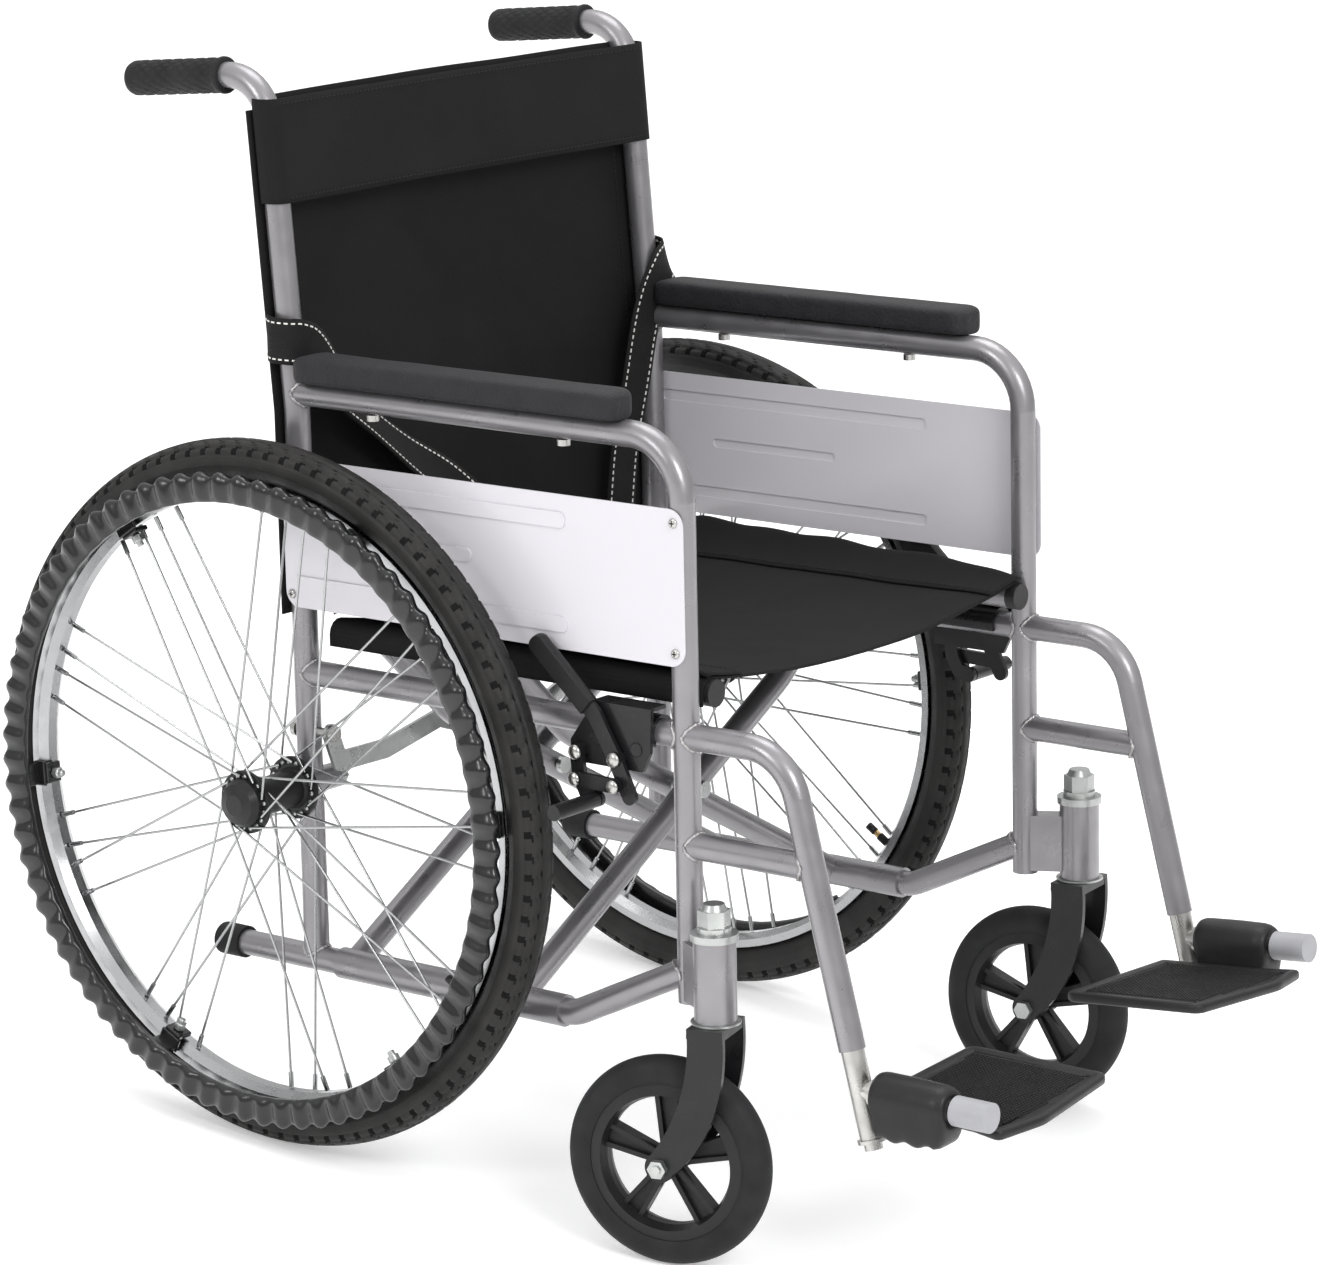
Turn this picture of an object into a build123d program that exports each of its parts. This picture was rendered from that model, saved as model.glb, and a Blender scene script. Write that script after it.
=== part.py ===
from build123d import *
import math
import os

os.makedirs("parts", exist_ok=True)

# Manual folding wheelchair, modelled in millimetres.
# +Z is up, the floor is z = 0, and the chair faces -Y. The right-hand side of the sitter is -X.
# The tubes are laid out square to each other and the whole chair is then leaned back by TILT.

TILT = 4.6
SIN_T = math.sin(math.radians(TILT))
COS_T = math.cos(math.radians(TILT))

# frame tubes
R_TUBE = 11.0
WALL = 1.5
X_FRAME = 238.0
Y_FRONT = -230.0
Y_BACK = 180.0
Z_ARM = 656.0
Z_SIDE = 415.0
Z_BRACE = 325.0
Z_LOW = 163.0
Z_FRONT_FOOT = 194.0
R_ARM_BEND = 50.0
Z_LEAN = 640.0
LEAN = 4.5
Z_HANDLE = 922.0
HANDLE_LENGTH = 140.0
R_HANDLE_BEND = 42.0
Y_TIP = 284.0
Y_LOW_BEND = -108.0
LOW_RISE = 25.5
R_LOW_BEND = 36.0

# footrest hanger
Y_HANG_CORNER = -330.5
HANG_SLOPE = 14.5
Z_HANG_END = 182.0
R_HANG_BEND = 48.0
R_HANG_BORE = 9.6
R_INNER = 9.5
Z_INNER_END = 112.0
Z_INNER_TOP = 300.0
Z_HINGE = 150.0
R_BAR = 8.0
BAR_RISE = {-1: 0.0, 1: 5.0}
LEFT_RAISE = 11.0
PLATE_ROLL = 2.7

# rear wheel, in standing coordinates
X_WHEEL = 294.4
Y_WHEEL = 200.3
R_WHEEL = 305.0
R_TYRE = 18.0
R_RIM = 270.0
RIM_DEPTH = 12.0
RIM_WIDTH = 25.0
SPOKES_PER_FLANGE = 18
R_SPOKE = 1.1
R_AXLE = 6.0
R_HANDRIM = 269.0
X_HANDRIM = 329.0

# front caster
X_STEM = 260.5
Y_STEM = -272.0
R_HOUSING = 17.5
Z_HOUSING = (191.0, 258.0)
R_CASTER = 88.0
R_CASTER_TYRE = 14.0
TRAIL = 42.0
R_STEM = 6.0
CASTER_YAW = {-1: 15.5, 1: 7.0}

# folding cross members
R_SLEEVE = 13.5
SLEEVE_Y = (-98.0, 150.0)
X_RAIL = 214.5
Z_RAIL = 447.0
RAIL_Y = (-233.0, 158.0)
Z_PIVOT = 295.0
LEG_Y_OUTER = (-44.0, 138.0)
LEG_Y_INNER = (-18.0, 112.0)
R_PIVOT = 4.0

# brake
X_BRAKE = 262.0
LEVER_PIVOT = (-175.0, 393.0)
ARM_PIVOT = (-135.0, 394.0)
CRANK = (-2.5, -21.0)
SHOE = (-155.5, 357.5)
R_SHOE = 6.5

# distance that centres the standing chair on the origin
Y_ORIGIN = 2.93

# clearances
RUN = 0.06
GAP = 0.4


def local_of_standing(y, z):
    """Frame coordinates of a point given in standing coordinates."""
    return y * COS_T - z * SIN_T, z * COS_T + y * SIN_T


Y_AXLE, Z_AXLE = local_of_standing(Y_WHEEL, R_WHEEL)


def solid_tube(points, radius, bend):
    """A round bar along a line through points whose corners are bent to the given radius."""
    with BuildPart() as bar:
        with BuildLine() as path:
            if len(points) > 2:
                FilletPolyline(*points, radius=bend)
            else:
                Line(*points)
        start = path.line @ 0
        with BuildSketch(Plane(origin=start, z_dir=path.line % 0)):
            Circle(radius)
        sweep()
    return bar.part


def rod(start, end, radius):
    """A straight round bar between two points."""
    return solid_tube([start, end], radius, 0)


def tilted(shape):
    """Lean a shape back with the chair."""
    return Rot(X=-TILT) * shape


def mirrored(shape, side):
    """The right-hand shape itself, or its mirror image for the left-hand side."""
    return shape if side < 0 else mirror(shape, Plane.YZ)


def along_x(y, z, x0, x1, radius):
    """A round bar parallel to X."""
    return rod((x0, y, z), (x1, y, z), radius)


def along_y(x, z, y0, y1, radius):
    """A round bar parallel to Y."""
    return rod((x, y0, z), (x, y1, z), radius)


def dome(x, y, z, radius, height, towards):
    """A rounded rivet head whose flat side lies at x and which bulges along X."""
    head = along_x(y, z, x, x + towards * height, radius)
    rims = head.edges().filter_by(GeomType.CIRCLE).sort_by(Axis.X)
    return fillet(rims[-1] if towards > 0 else rims[0], 0.8 * height)


def bar_plate(points, width, x0, x1):
    """A flat bar with round ends that follows points in the YZ plane, between two X positions."""
    parts = []
    for (ya, za), (yb, zb) in zip(points, points[1:]):
        length = math.hypot(yb - ya, zb - za)
        angle = math.degrees(math.atan2(zb - za, yb - ya))
        with BuildPart() as piece:
            with BuildSketch(Plane.YZ.offset(x0)):
                with Locations(((ya + yb) / 2, (za + zb) / 2)):
                    SlotCenterToCenter(length, width, rotation=angle)
            extrude(amount=x1 - x0)
        parts.append(piece.part)
    shape = parts[0]
    for piece in parts[1:]:
        shape = shape + piece
    return shape


def flat_bar(points, width, y0, y1):
    """A flat bar with round ends that follows points in the XZ plane, between two Y positions."""
    shape = None
    for (xa, za), (xb, zb) in zip(points, points[1:]):
        length = math.hypot(xb - xa, zb - za)
        angle = math.degrees(math.atan2(zb - za, xb - xa))
        with BuildPart() as piece:
            with BuildSketch(Plane.XZ.offset(-y0)):
                with Locations(((xa + xb) / 2, (za + zb) / 2)):
                    SlotCenterToCenter(length, width, rotation=angle)
            extrude(amount=-(y1 - y0))
        shape = piece.part if shape is None else shape + piece.part
    return shape


def finish(shape, name):
    """Centre a finished piece on the origin, label it and write it out."""
    piece = Pos(0, Y_ORIGIN, 0) * shape
    piece.label = name
    export_step(piece, f"parts/{name}.step")


# ---------------------------------------------------------------- side frame
HANG_TAN = math.tan(math.radians(HANG_SLOPE))


def hanger_y(z):
    """Y of the sloping part of the hanger at a height."""
    return Y_HANG_CORNER - HANG_TAN * (Z_SIDE - z)


LEAN_TAN = math.tan(math.radians(LEAN))


def post_y(z):
    """Y of the back post's centre line at a height."""
    return Y_BACK + max(0.0, z - Z_LEAN) * LEAN_TAN


HANDLE_CORNER = (post_y(Z_HANDLE), Z_HANDLE)
HANDLE_END = (
    HANDLE_CORNER[0] + HANDLE_LENGTH * math.cos(math.radians(LEAN)),
    HANDLE_CORNER[1] - HANDLE_LENGTH * math.sin(math.radians(LEAN)),
)
LOW_RISE_TAN = math.tan(math.radians(LOW_RISE))
Z_LOW_JOINT = Z_LOW + (Y_LOW_BEND - Y_FRONT) * LOW_RISE_TAN
FRAME_RUNS = (
    (((Y_BACK, Z_ARM), (Y_FRONT, Z_ARM), (Y_FRONT, Z_FRONT_FOOT)), R_ARM_BEND),
    (((Y_BACK, Z_LOW), (Y_BACK, Z_LEAN), HANDLE_CORNER, HANDLE_END), R_HANDLE_BEND),
    (((Y_BACK, Z_SIDE), (Y_FRONT, Z_SIDE)), 0),
    (((Y_TIP, Z_LOW), (Y_LOW_BEND, Z_LOW), (Y_FRONT, Z_LOW_JOINT)), R_LOW_BEND),
    (((Y_FRONT, Z_SIDE), (Y_HANG_CORNER, Z_SIDE), (hanger_y(Z_HANG_END), Z_HANG_END)), R_HANG_BEND),
    (((Y_FRONT, Z_BRACE), (hanger_y(Z_BRACE), Z_BRACE)), 0),
)


def on_frame(points):
    """Points of the frame's plane as points in space."""
    return [(-X_FRAME, y, z) for y, z in points]


def make_frame():
    """The welded right-hand side frame."""
    shape = None
    for points, bend in FRAME_RUNS:
        run = solid_tube(on_frame(points), R_TUBE, bend)
        shape = run if shape is None else shape + run
    # caster housing and its gusset
    housing = Pos(-X_STEM, Y_STEM, sum(Z_HOUSING) / 2) * Cylinder(R_HOUSING, Z_HOUSING[1] - Z_HOUSING[0])
    turn = math.degrees(math.atan2(Y_STEM - Y_FRONT, X_FRAME - X_STEM))
    middle = (-(X_FRAME + X_STEM) / 2, (Y_FRONT + Y_STEM) / 2, 222)
    reach = math.hypot(X_STEM - X_FRAME, Y_STEM - Y_FRONT)
    gusset = Pos(*middle) * Rot(Z=turn) * Box(reach, 19, 50)
    boss = along_x(Y_AXLE, Z_AXLE, -X_FRAME - 21, -X_FRAME + 23, 11)
    shape = shape + gusset + housing + boss
    # bores
    for points, bend in FRAME_RUNS[:2]:
        shape = shape - solid_tube(on_frame(points), R_TUBE - WALL, bend)
    low = ((Y_TIP, Z_LOW), (Y_LOW_BEND, Z_LOW), (Y_FRONT + 14, Z_LOW_JOINT - 14 * LOW_RISE_TAN))
    shape = shape - solid_tube(on_frame(low), R_TUBE - WALL, R_LOW_BEND)
    side = ((Y_BACK - 13, Z_SIDE), (Y_FRONT + 13, Z_SIDE))
    shape = shape - solid_tube(on_frame(side), R_TUBE - WALL, 0)
    hang = on_frame(((hanger_y(376), 376), (hanger_y(Z_HANG_END - 5), Z_HANG_END - 5)))
    shape = shape - solid_tube(hang, R_HANG_BORE, 0)
    shape = shape - Pos(-X_STEM, Y_STEM, 225) * Cylinder(R_STEM + 0.5, 80)
    shape = shape - along_x(Y_AXLE, Z_AXLE, -X_FRAME - 30, -X_FRAME + 30, R_AXLE + RUN)
    shape = shape - along_y(-X_FRAME, Z_LINK, Y_BACK - 20, Y_BACK + 20, R_LINK_PIN + RUN)
    return shape


# ---------------------------------------------------------------- stay links behind the cross
Z_LINK = 364.0
R_LINK_PIN = 4.0
LINK_Y_RIGHT = (153.5, 157.0)
LINK_Y_LEFT = (158.2, 161.7)
FOLD_START = math.degrees(math.atan2(Z_PIVOT - Z_LOW, X_FRAME))
Z_MEET = Z_LINK - X_FRAME * math.tan(math.radians(FOLD_START))
LINK_LINE = ((-X_FRAME, Z_LINK), (-228, 338), (-168, 337), (-98, 350), (-50, 333), (-20, 290), (0, Z_MEET))


def make_link(side):
    """A zinc-plated cranked link from a back post to the middle."""
    y0, y1 = LINK_Y_RIGHT if side < 0 else LINK_Y_LEFT
    plate = flat_bar(LINK_LINE, 17, y0, y1)
    plate = plate - along_y(-X_FRAME, Z_LINK, y0 - 1, y1 + 1, R_LINK_PIN + RUN)
    if side < 0:
        plate = plate + along_y(0, Z_MEET, y0, LINK_Y_LEFT[1] + 0.5, R_LINK_PIN)
        plate = plate + along_y(0, Z_MEET, LINK_Y_LEFT[1] + 0.5, LINK_Y_LEFT[1] + 3, 7)
        return plate + along_y(0, Z_MEET, y0 - 2.5, y0, 7)
    return mirrored(plate - along_y(0, Z_MEET, y0 - 1, y1 + 1, R_LINK_PIN + RUN), side)


# ---------------------------------------------------------------- cross members
SLOPE = (Z_PIVOT - Z_LOW) / X_FRAME
LEG_BEND_X = 132.0


def make_cross(side, leg_ys):
    """One folding member: sleeve on the lower tube of one side, two legs, seat rail on the other."""
    x_low = -X_FRAME
    bend_point = (LEG_BEND_X, Z_LOW + SLOPE * (LEG_BEND_X + X_FRAME))
    shape = along_y(x_low, Z_LOW, *SLEEVE_Y, R_SLEEVE)
    rail = along_y(X_RAIL, Z_RAIL, *RAIL_Y, R_TUBE)
    shape = shape + rail
    for y in leg_ys:
        points = [(x_low, y, Z_LOW), (bend_point[0], y, bend_point[1]), (X_RAIL, y, Z_RAIL)]
        shape = shape + solid_tube(points, R_TUBE, 90)
    for y in leg_ys:
        step = R_SLEEVE + 3
        start = (x_low + step * math.cos(math.radians(FOLD_START)), y)
        inner = [
            (start[0], y, Z_LOW + SLOPE * (start[0] - x_low)),
            (bend_point[0], y, bend_point[1]),
            (X_RAIL, y, Z_RAIL),
        ]
        shape = shape - solid_tube(inner, R_TUBE - WALL, 90)
        shape = shape - along_y(0, Z_PIVOT, y - 20, y + 20, R_PIVOT + RUN)
    shape = shape - along_y(x_low, Z_LOW, SLEEVE_Y[0] - 5, SLEEVE_Y[1] + 5, R_TUBE + RUN)
    shape = shape - along_y(X_RAIL, Z_RAIL, RAIL_Y[0] - 5, RAIL_Y[1] + 5, R_TUBE - WALL)
    return mirrored(shape, side)


def make_rail_caps(side):
    """The round plugs in the two ends of a seat rail."""
    front = along_y(X_RAIL, Z_RAIL, RAIL_Y[0] - 10, RAIL_Y[0], R_TUBE + 0.3)
    front = front + along_y(X_RAIL, Z_RAIL, RAIL_Y[0], RAIL_Y[0] + 12, R_TUBE - WALL - 0.05)
    rear = along_y(X_RAIL, Z_RAIL, RAIL_Y[1], RAIL_Y[1] + 4, R_TUBE)
    rear = rear + along_y(X_RAIL, Z_RAIL, RAIL_Y[1] - 12, RAIL_Y[1], R_TUBE - WALL - 0.05)
    return mirrored(Compound([front, rear]), side)


def make_pivot_bolts():
    """The two bolts on which the cross members turn, with a spacer between the legs."""
    bolts = []
    for outer, inner, out in ((LEG_Y_OUTER[0], LEG_Y_INNER[0], -1), (LEG_Y_OUTER[1], LEG_Y_INNER[1], 1)):
        shank_out = outer + out * (R_TUBE + 1)
        shank_in = inner - out * (R_TUBE + 1)
        bolt = along_y(0, Z_PIVOT, shank_out, shank_in, R_PIVOT)
        bolt = bolt + along_y(0, Z_PIVOT, shank_out, shank_out + out * 5, 7.5)
        bolt = bolt + along_y(0, Z_PIVOT, shank_in, shank_in - out * 5, 7.5)
        mid = (outer + inner) / 2
        bolt = bolt + along_y(0, Z_PIVOT, mid - 1.4, mid + 1.4, 9)
        bolts.append(bolt)
    return Compound(bolts)


# ---------------------------------------------------------------- small frame pieces
GRIP_START = 44.0


def make_grip():
    """Rubber handle grip over the end of the back post."""
    direction = (math.cos(math.radians(LEAN)), -math.sin(math.radians(LEAN)))

    def at(distance):
        return (-X_FRAME, HANDLE_CORNER[0] + distance * direction[0], HANDLE_CORNER[1] + distance * direction[1])

    body = rod(at(GRIP_START), at(HANDLE_LENGTH + 14), 15)
    body = body + rod(at(GRIP_START), at(GRIP_START + 4), 17)
    body = fillet(body.edges().filter_by(GeomType.CIRCLE).sort_by(Axis.Y)[-1], 5)
    return body - rod(at(GRIP_START - 5), at(HANDLE_LENGTH + 0.2), R_TUBE + 0.05)


def make_tip_cap():
    """Black sleeve cap on the rear end of the lower tube."""
    cap = along_y(-X_FRAME, Z_LOW, Y_TIP - 22, Y_TIP + 6, R_TUBE + 3)
    cap = fillet(cap.edges().sort_by(Axis.Y)[-1], 3)
    return cap - along_y(-X_FRAME, Z_LOW, Y_TIP - 30, Y_TIP + 0.2, R_TUBE + 0.05)


PAD_Y = (-172.0, 160.0)
PAD_X = (-262.0, -222.0)
PAD_Z = (Z_ARM + R_TUBE + GAP, Z_ARM + R_TUBE + 24)
PAD_BOLTS_Y = (-110.0, 95.0)


def make_pad():
    """Foam arm pad with rounded ends and a crowned top."""
    with BuildPart() as pad:
        with BuildSketch(Plane.XY.offset(PAD_Z[0])):
            with Locations((sum(PAD_X) / 2, sum(PAD_Y) / 2)):
                RectangleRounded(PAD_X[1] - PAD_X[0], PAD_Y[1] - PAD_Y[0], 17)
        extrude(amount=PAD_Z[1] - PAD_Z[0])
        fillet(pad.faces().sort_by(Axis.Z)[-1].edges(), 9)
    return pad.part


PANEL_X = (-251.0, -249.6)
PANEL_Y = (-240.0, 188.0)
PANEL_Z = (474.0, 602.0)
PANEL_RIBS = ((-120.0, 178.0, 581.0, 13.0), (-20.0, 120.0, 541.0, 11.0), (-120.0, 178.0, 495.0, 13.0))
PANEL_SCREWS = ((-231.0, 591.0), (-231.0, 485.0), (181.0, 591.0), (181.0, 485.0))


def make_panel():
    """Side panel of pressed sheet with three raised ribs."""
    with BuildPart() as panel:
        with BuildSketch(Plane.YZ.offset(PANEL_X[0])):
            with Locations((sum(PANEL_Y) / 2, sum(PANEL_Z) / 2)):
                RectangleRounded(PANEL_Y[1] - PANEL_Y[0], PANEL_Z[1] - PANEL_Z[0], 14)
        extrude(amount=PANEL_X[1] - PANEL_X[0])
        for y0, y1, z, width in PANEL_RIBS:
            with BuildSketch(Plane.YZ.offset(PANEL_X[0])):
                with Locations(((y0 + y1) / 2, z)):
                    RectangleRounded(y1 - y0, width, 5)
            extrude(amount=-1.4)
        for y0, y1, z, width in PANEL_RIBS:
            with BuildSketch(Plane.YZ.offset(PANEL_X[1])):
                with Locations(((y0 + y1) / 2, z)):
                    RectangleRounded(y1 - y0 - 3, width - 3, 3.5)
            extrude(amount=-1.3, mode=Mode.SUBTRACT)
        with BuildSketch(Plane.YZ.offset(PANEL_X[0] - 5)):
            with Locations(*PANEL_SCREWS):
                Circle(2.2)
        extrude(amount=10, mode=Mode.SUBTRACT)
    return panel.part


def make_screws(side):
    """Panel screws, arm pad bolts and stay link bolt of one side."""
    head = (LINK_Y_RIGHT if side < 0 else LINK_Y_LEFT)[0] - 0.3
    bolt = along_y(-X_FRAME, Z_LINK, head, Y_BACK + 16, R_LINK_PIN)
    bolt = bolt + along_y(-X_FRAME, Z_LINK, head - 4, head, 7)
    screws = [bolt + along_y(-X_FRAME, Z_LINK, Y_BACK + 11.3, Y_BACK + 16, 7)]
    for y, z in PANEL_SCREWS:
        head = dome(PANEL_X[0] - 0.05, y, z, 4, 2.2, -1)
        screws.append(head + along_x(y, z, PANEL_X[0] - 0.1, PANEL_X[1] - 0.3, 2))
    for y in PAD_BOLTS_Y:
        bottom = Z_ARM - R_TUBE - 0.3
        screws.append(Pos(-X_FRAME, y, bottom - 2.5) * Cylinder(5.5, 5))
    return Compound(screws)


def make_axle():
    """Rear axle bolt through the boss, with its inboard nut."""
    inboard = -X_FRAME + 23.2
    axle = along_x(Y_AXLE, Z_AXLE, -X_WHEEL - 24, inboard, R_AXLE)
    with BuildPart() as nut:
        with BuildSketch(Plane.YZ.offset(inboard)):
            with Locations((Y_AXLE, Z_AXLE)):
                RegularPolygon(11, 6)
        extrude(amount=8)
    return axle + nut.part + along_x(Y_AXLE, Z_AXLE, inboard, inboard + 12, R_AXLE)


# ---------------------------------------------------------------- brake
X_BRACKET = (-255.5, -251.8)
X_LEVER = (-263.0, -259.0)
X_COUPLER = (-268.0, -264.0)
LEVER_PIN = (LEVER_PIVOT[0] + CRANK[0], LEVER_PIVOT[1] + CRANK[1])
ARM_PIN = (ARM_PIVOT[0] + CRANK[0], ARM_PIVOT[1] + CRANK[1])
LEVER_ELBOW = (-155.0, 427.0)
LEVER_TOP = (-99.0, 478.0)
LEVER_TAIL = (-189.0, 364.0)
R_RIVET = 3.5
GRIP_THICK = 10.0
BRACKET_Y = (-206.0, -146.0)


def make_bracket():
    """Clamp bracket on the upper side tube that carries both brake pivots."""
    centre = sum(BRACKET_Y) / 2
    length = BRACKET_Y[1] - BRACKET_Y[0]
    with BuildPart() as bracket:
        with BuildSketch(Plane.XZ.offset(-BRACKET_Y[0])):
            with Locations((-X_FRAME, Z_SIDE)):
                Circle(R_TUBE + 3.2)
                Circle(R_TUBE + 0.1, mode=Mode.SUBTRACT)
            with Locations((-X_FRAME + 3, Z_SIDE - 12)):
                Rectangle(24, 14, mode=Mode.SUBTRACT)
        extrude(amount=-length)
        with BuildSketch(Plane.YZ.offset(X_BRACKET[0])):
            with BuildLine():
                Polyline((-208, 437), (-150, 437), (-124, 402), (-124, 384), (-198, 384), (-206, 400), (-208, 437))
            make_face()
        extrude(amount=X_BRACKET[1] - X_BRACKET[0])
        with BuildSketch(Plane.XY.offset(434)):
            with Locations((-244.5, centre)):
                Rectangle(22, length)
        extrude(amount=3)
    shape = bracket.part
    for y, z in (LEVER_PIVOT, ARM_PIVOT):
        shape = shape + along_x(y, z, X_BRACKET[0], X_LEVER[0] - 0.6, R_RIVET)
        shape = shape + dome(X_LEVER[0] - 0.6, y, z, 5.5, 3.5, -1)
        shape = shape + along_x(y, z, X_BRACKET[0], X_LEVER[1] + 0.3, 6)
    for y, z in ((-151, 407), (-192, 402)):
        shape = shape + dome(X_BRACKET[0], y, z, 6, 1.4, -1)
    return shape - along_y(-X_FRAME, Z_SIDE, BRACKET_Y[0] - 9, BRACKET_Y[1] + 30, R_TUBE + 0.1)


def make_lever():
    """Flat brake lever with its tail and the pin for the coupler."""
    lever = bar_plate((LEVER_TOP, LEVER_ELBOW, LEVER_PIVOT, LEVER_TAIL), 14, *X_LEVER)
    lever = lever - along_x(*LEVER_PIVOT, X_LEVER[0] - 1, X_LEVER[1] + 1, R_RIVET + RUN)
    lever = lever + along_x(*LEVER_PIN, X_LEVER[0], X_COUPLER[0] - 0.6, R_RIVET)
    return lever + dome(X_COUPLER[0] - 0.6, *LEVER_PIN, 5, 3.2, -1)


def make_lever_grip():
    """Plastic grip over the top of the brake lever."""
    dy, dz = LEVER_ELBOW[0] - LEVER_TOP[0], LEVER_ELBOW[1] - LEVER_TOP[1]
    length = math.hypot(dy, dz)
    uy, uz = dy / length, dz / length
    x_mid = sum(X_LEVER) / 2

    def at(distance):
        return (x_mid, LEVER_TOP[0] + distance * uy, LEVER_TOP[1] + distance * uz)

    grip = rod(at(-8), at(length - 9), 9)
    grip = fillet(grip.edges().filter_by(GeomType.CIRCLE).sort_by(Axis.Z)[-1], 6)
    slab = Pos(x_mid, *LEVER_TOP) * Box(GRIP_THICK, 300, 300)
    past = (LEVER_ELBOW[0] + 20 * uy, LEVER_ELBOW[1] + 20 * uz)
    slot = bar_plate((LEVER_TOP, past), 14.1, X_LEVER[0] - RUN, X_LEVER[1] + RUN)
    return (grip & slab) - slot


def make_coupler():
    """Short link between the brake lever and the brake arm."""
    link = bar_plate((LEVER_PIN, ARM_PIN), 12, *X_COUPLER)
    for y, z in (LEVER_PIN, ARM_PIN):
        link = link - along_x(y, z, X_COUPLER[0] - 1, X_COUPLER[1] + 1, R_RIVET + RUN)
    return link


def make_brake_arm():
    """Brake arm with its cross bar."""
    foot = (ARM_PIN[0] - 7, ARM_PIN[1] - 13)
    arm = bar_plate((ARM_PIVOT, ARM_PIN, foot, SHOE), 13, *X_LEVER)
    arm = arm - along_x(*ARM_PIVOT, X_LEVER[0] - 1, X_LEVER[1] + 1, R_RIVET + RUN)
    arm = arm + along_x(*ARM_PIN, X_LEVER[0], X_COUPLER[0] - 0.6, R_RIVET)
    arm = arm + dome(X_COUPLER[0] - 0.6, *ARM_PIN, 5, 3.2, -1)
    return arm + along_x(*SHOE, -X_WHEEL - 20, X_LEVER[1], 4)


def make_brake_shoe():
    """Rubber sleeve on the brake arm's cross bar."""
    shoe = along_x(*SHOE, -X_WHEEL - 23, X_LEVER[0] - 1.5, R_SHOE)
    return shoe - along_x(*SHOE, -X_WHEEL - 20.1, X_LEVER[0], 4.05)


# ---------------------------------------------------------------- rear wheel (standing coordinates)
def ring(points, x):
    """Revolve a closed profile, given as (x offset, radius) points, about the rear axle."""
    with BuildPart() as body:
        with BuildSketch(Plane.XZ):
            with BuildLine():
                Polyline(*points, close=True)
            make_face()
        revolve(axis=Axis.X)
    return Pos(x, Y_WHEEL, R_WHEEL) * body.part


def make_tyre():
    """Pneumatic tyre, seated in the rim."""
    major = R_WHEEL - R_TYRE
    with BuildPart() as tyre:
        with BuildSketch(Plane.XZ):
            with Locations((0, major)):
                Circle(R_TYRE)
                Circle(R_TYRE - 4, mode=Mode.SUBTRACT)
            with Locations((0, R_RIM - 20 + 0.1)):
                Rectangle(60, 40, mode=Mode.SUBTRACT)
        revolve(axis=Axis.X)
    return Pos(-X_WHEEL, Y_WHEEL, R_WHEEL) * tyre.part


def make_rim():
    """Steel channel rim."""
    half = RIM_WIDTH / 2
    inner = R_RIM - RIM_DEPTH
    profile = (
        (-half, R_RIM), (-half, R_RIM - 7), (-5, inner), (5, inner), (half, R_RIM - 7), (half, R_RIM),
        (half - 2, R_RIM), (half - 2, R_RIM - 6), (4, inner + 2), (-4, inner + 2), (2 - half, R_RIM - 6), (2 - half, R_RIM),
    )
    return ring(profile, -X_WHEEL)


HUB_HALF = 31.0
R_FLANGE = 27.0
R_SPOKE_RING = 22.5


def make_hub():
    """Two-flange hub with a domed cap on the outboard end."""
    profile = (
        (-HUB_HALF - 14, 0), (-HUB_HALF - 14, 9), (-HUB_HALF - 11, 17), (-HUB_HALF - 5, 20.5), (-HUB_HALF, 20.5),
        (-HUB_HALF, R_FLANGE), (3 - HUB_HALF, R_FLANGE), (3 - HUB_HALF, 18), (6 - HUB_HALF, 16),
        (HUB_HALF - 6, 16), (HUB_HALF - 3, 18), (HUB_HALF - 3, R_FLANGE), (HUB_HALF, R_FLANGE), (HUB_HALF, 14), (HUB_HALF + 3, 12),
        (HUB_HALF + 3, R_AXLE + RUN), (-25, R_AXLE + RUN), (-25, 0),
    )
    return ring(profile, -X_WHEEL)


def make_spokes():
    """All the spokes of a wheel, crossed in pairs, each with its nipple."""
    spokes = []
    step = 360 / SPOKES_PER_FLANGE
    outer_r = R_RIM - RIM_DEPTH - 0.1
    for flange in (-1, 1):
        face = flange * (HUB_HALF - 1.5)
        for k in range(SPOKES_PER_FLANGE):
            swing = 62 if k % 2 else -62
            beside = 1 if k % 2 else -1
            spare = 1.4 if beside == flange else 0.1
            x_hub = face + beside * (1.5 + R_SPOKE + spare)
            hub_angle = math.radians(k * step + (0 if flange < 0 else step / 2))
            rim_angle = hub_angle + math.radians(swing + beside * step * 0.25)
            a = (x_hub, R_SPOKE_RING * math.cos(hub_angle), R_SPOKE_RING * math.sin(hub_angle))
            b = (flange * 1.5, outer_r * math.cos(rim_angle), outer_r * math.sin(rim_angle))
            length = math.dist(a, b)
            start = tuple(b[i] + (a[i] - b[i]) * 14 / length for i in range(3))
            near = tuple(b[i] + (a[i] - b[i]) * 1.2 / length for i in range(3))
            spokes.append(rod(a, start, R_SPOKE) + rod(start, near, 2.1))
    group = Compound(spokes)
    return Pos(-X_WHEEL, Y_WHEEL, R_WHEEL) * group


TAB_ANGLES = [-8 + 60 * k for k in range(6)]


def make_handrim():
    """Push rim of flattened section on six tabs."""
    with BuildPart() as rim:
        with BuildSketch(Plane.XZ):
            with Locations((X_WHEEL - X_HANDRIM, R_HANDRIM)):
                Ellipse(7, 13)
        revolve(axis=Axis.X)
    shape = rim.part
    reach = X_HANDRIM - X_WHEEL - RIM_WIDTH / 2 + 1
    for angle in TAB_ANGLES:
        tab = Pos(-RIM_WIDTH / 2 - 0.2 - reach / 2, 0, R_RIM - 5) * Box(reach, 22, 5)
        foot = Pos(-RIM_WIDTH / 2 - 1.7, 0, R_RIM - 9) * Box(3, 22, 14)
        shape = shape + Rot(X=angle - 90) * (tab + foot)
    return Pos(-X_WHEEL, Y_WHEEL, R_WHEEL) * shape


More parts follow.
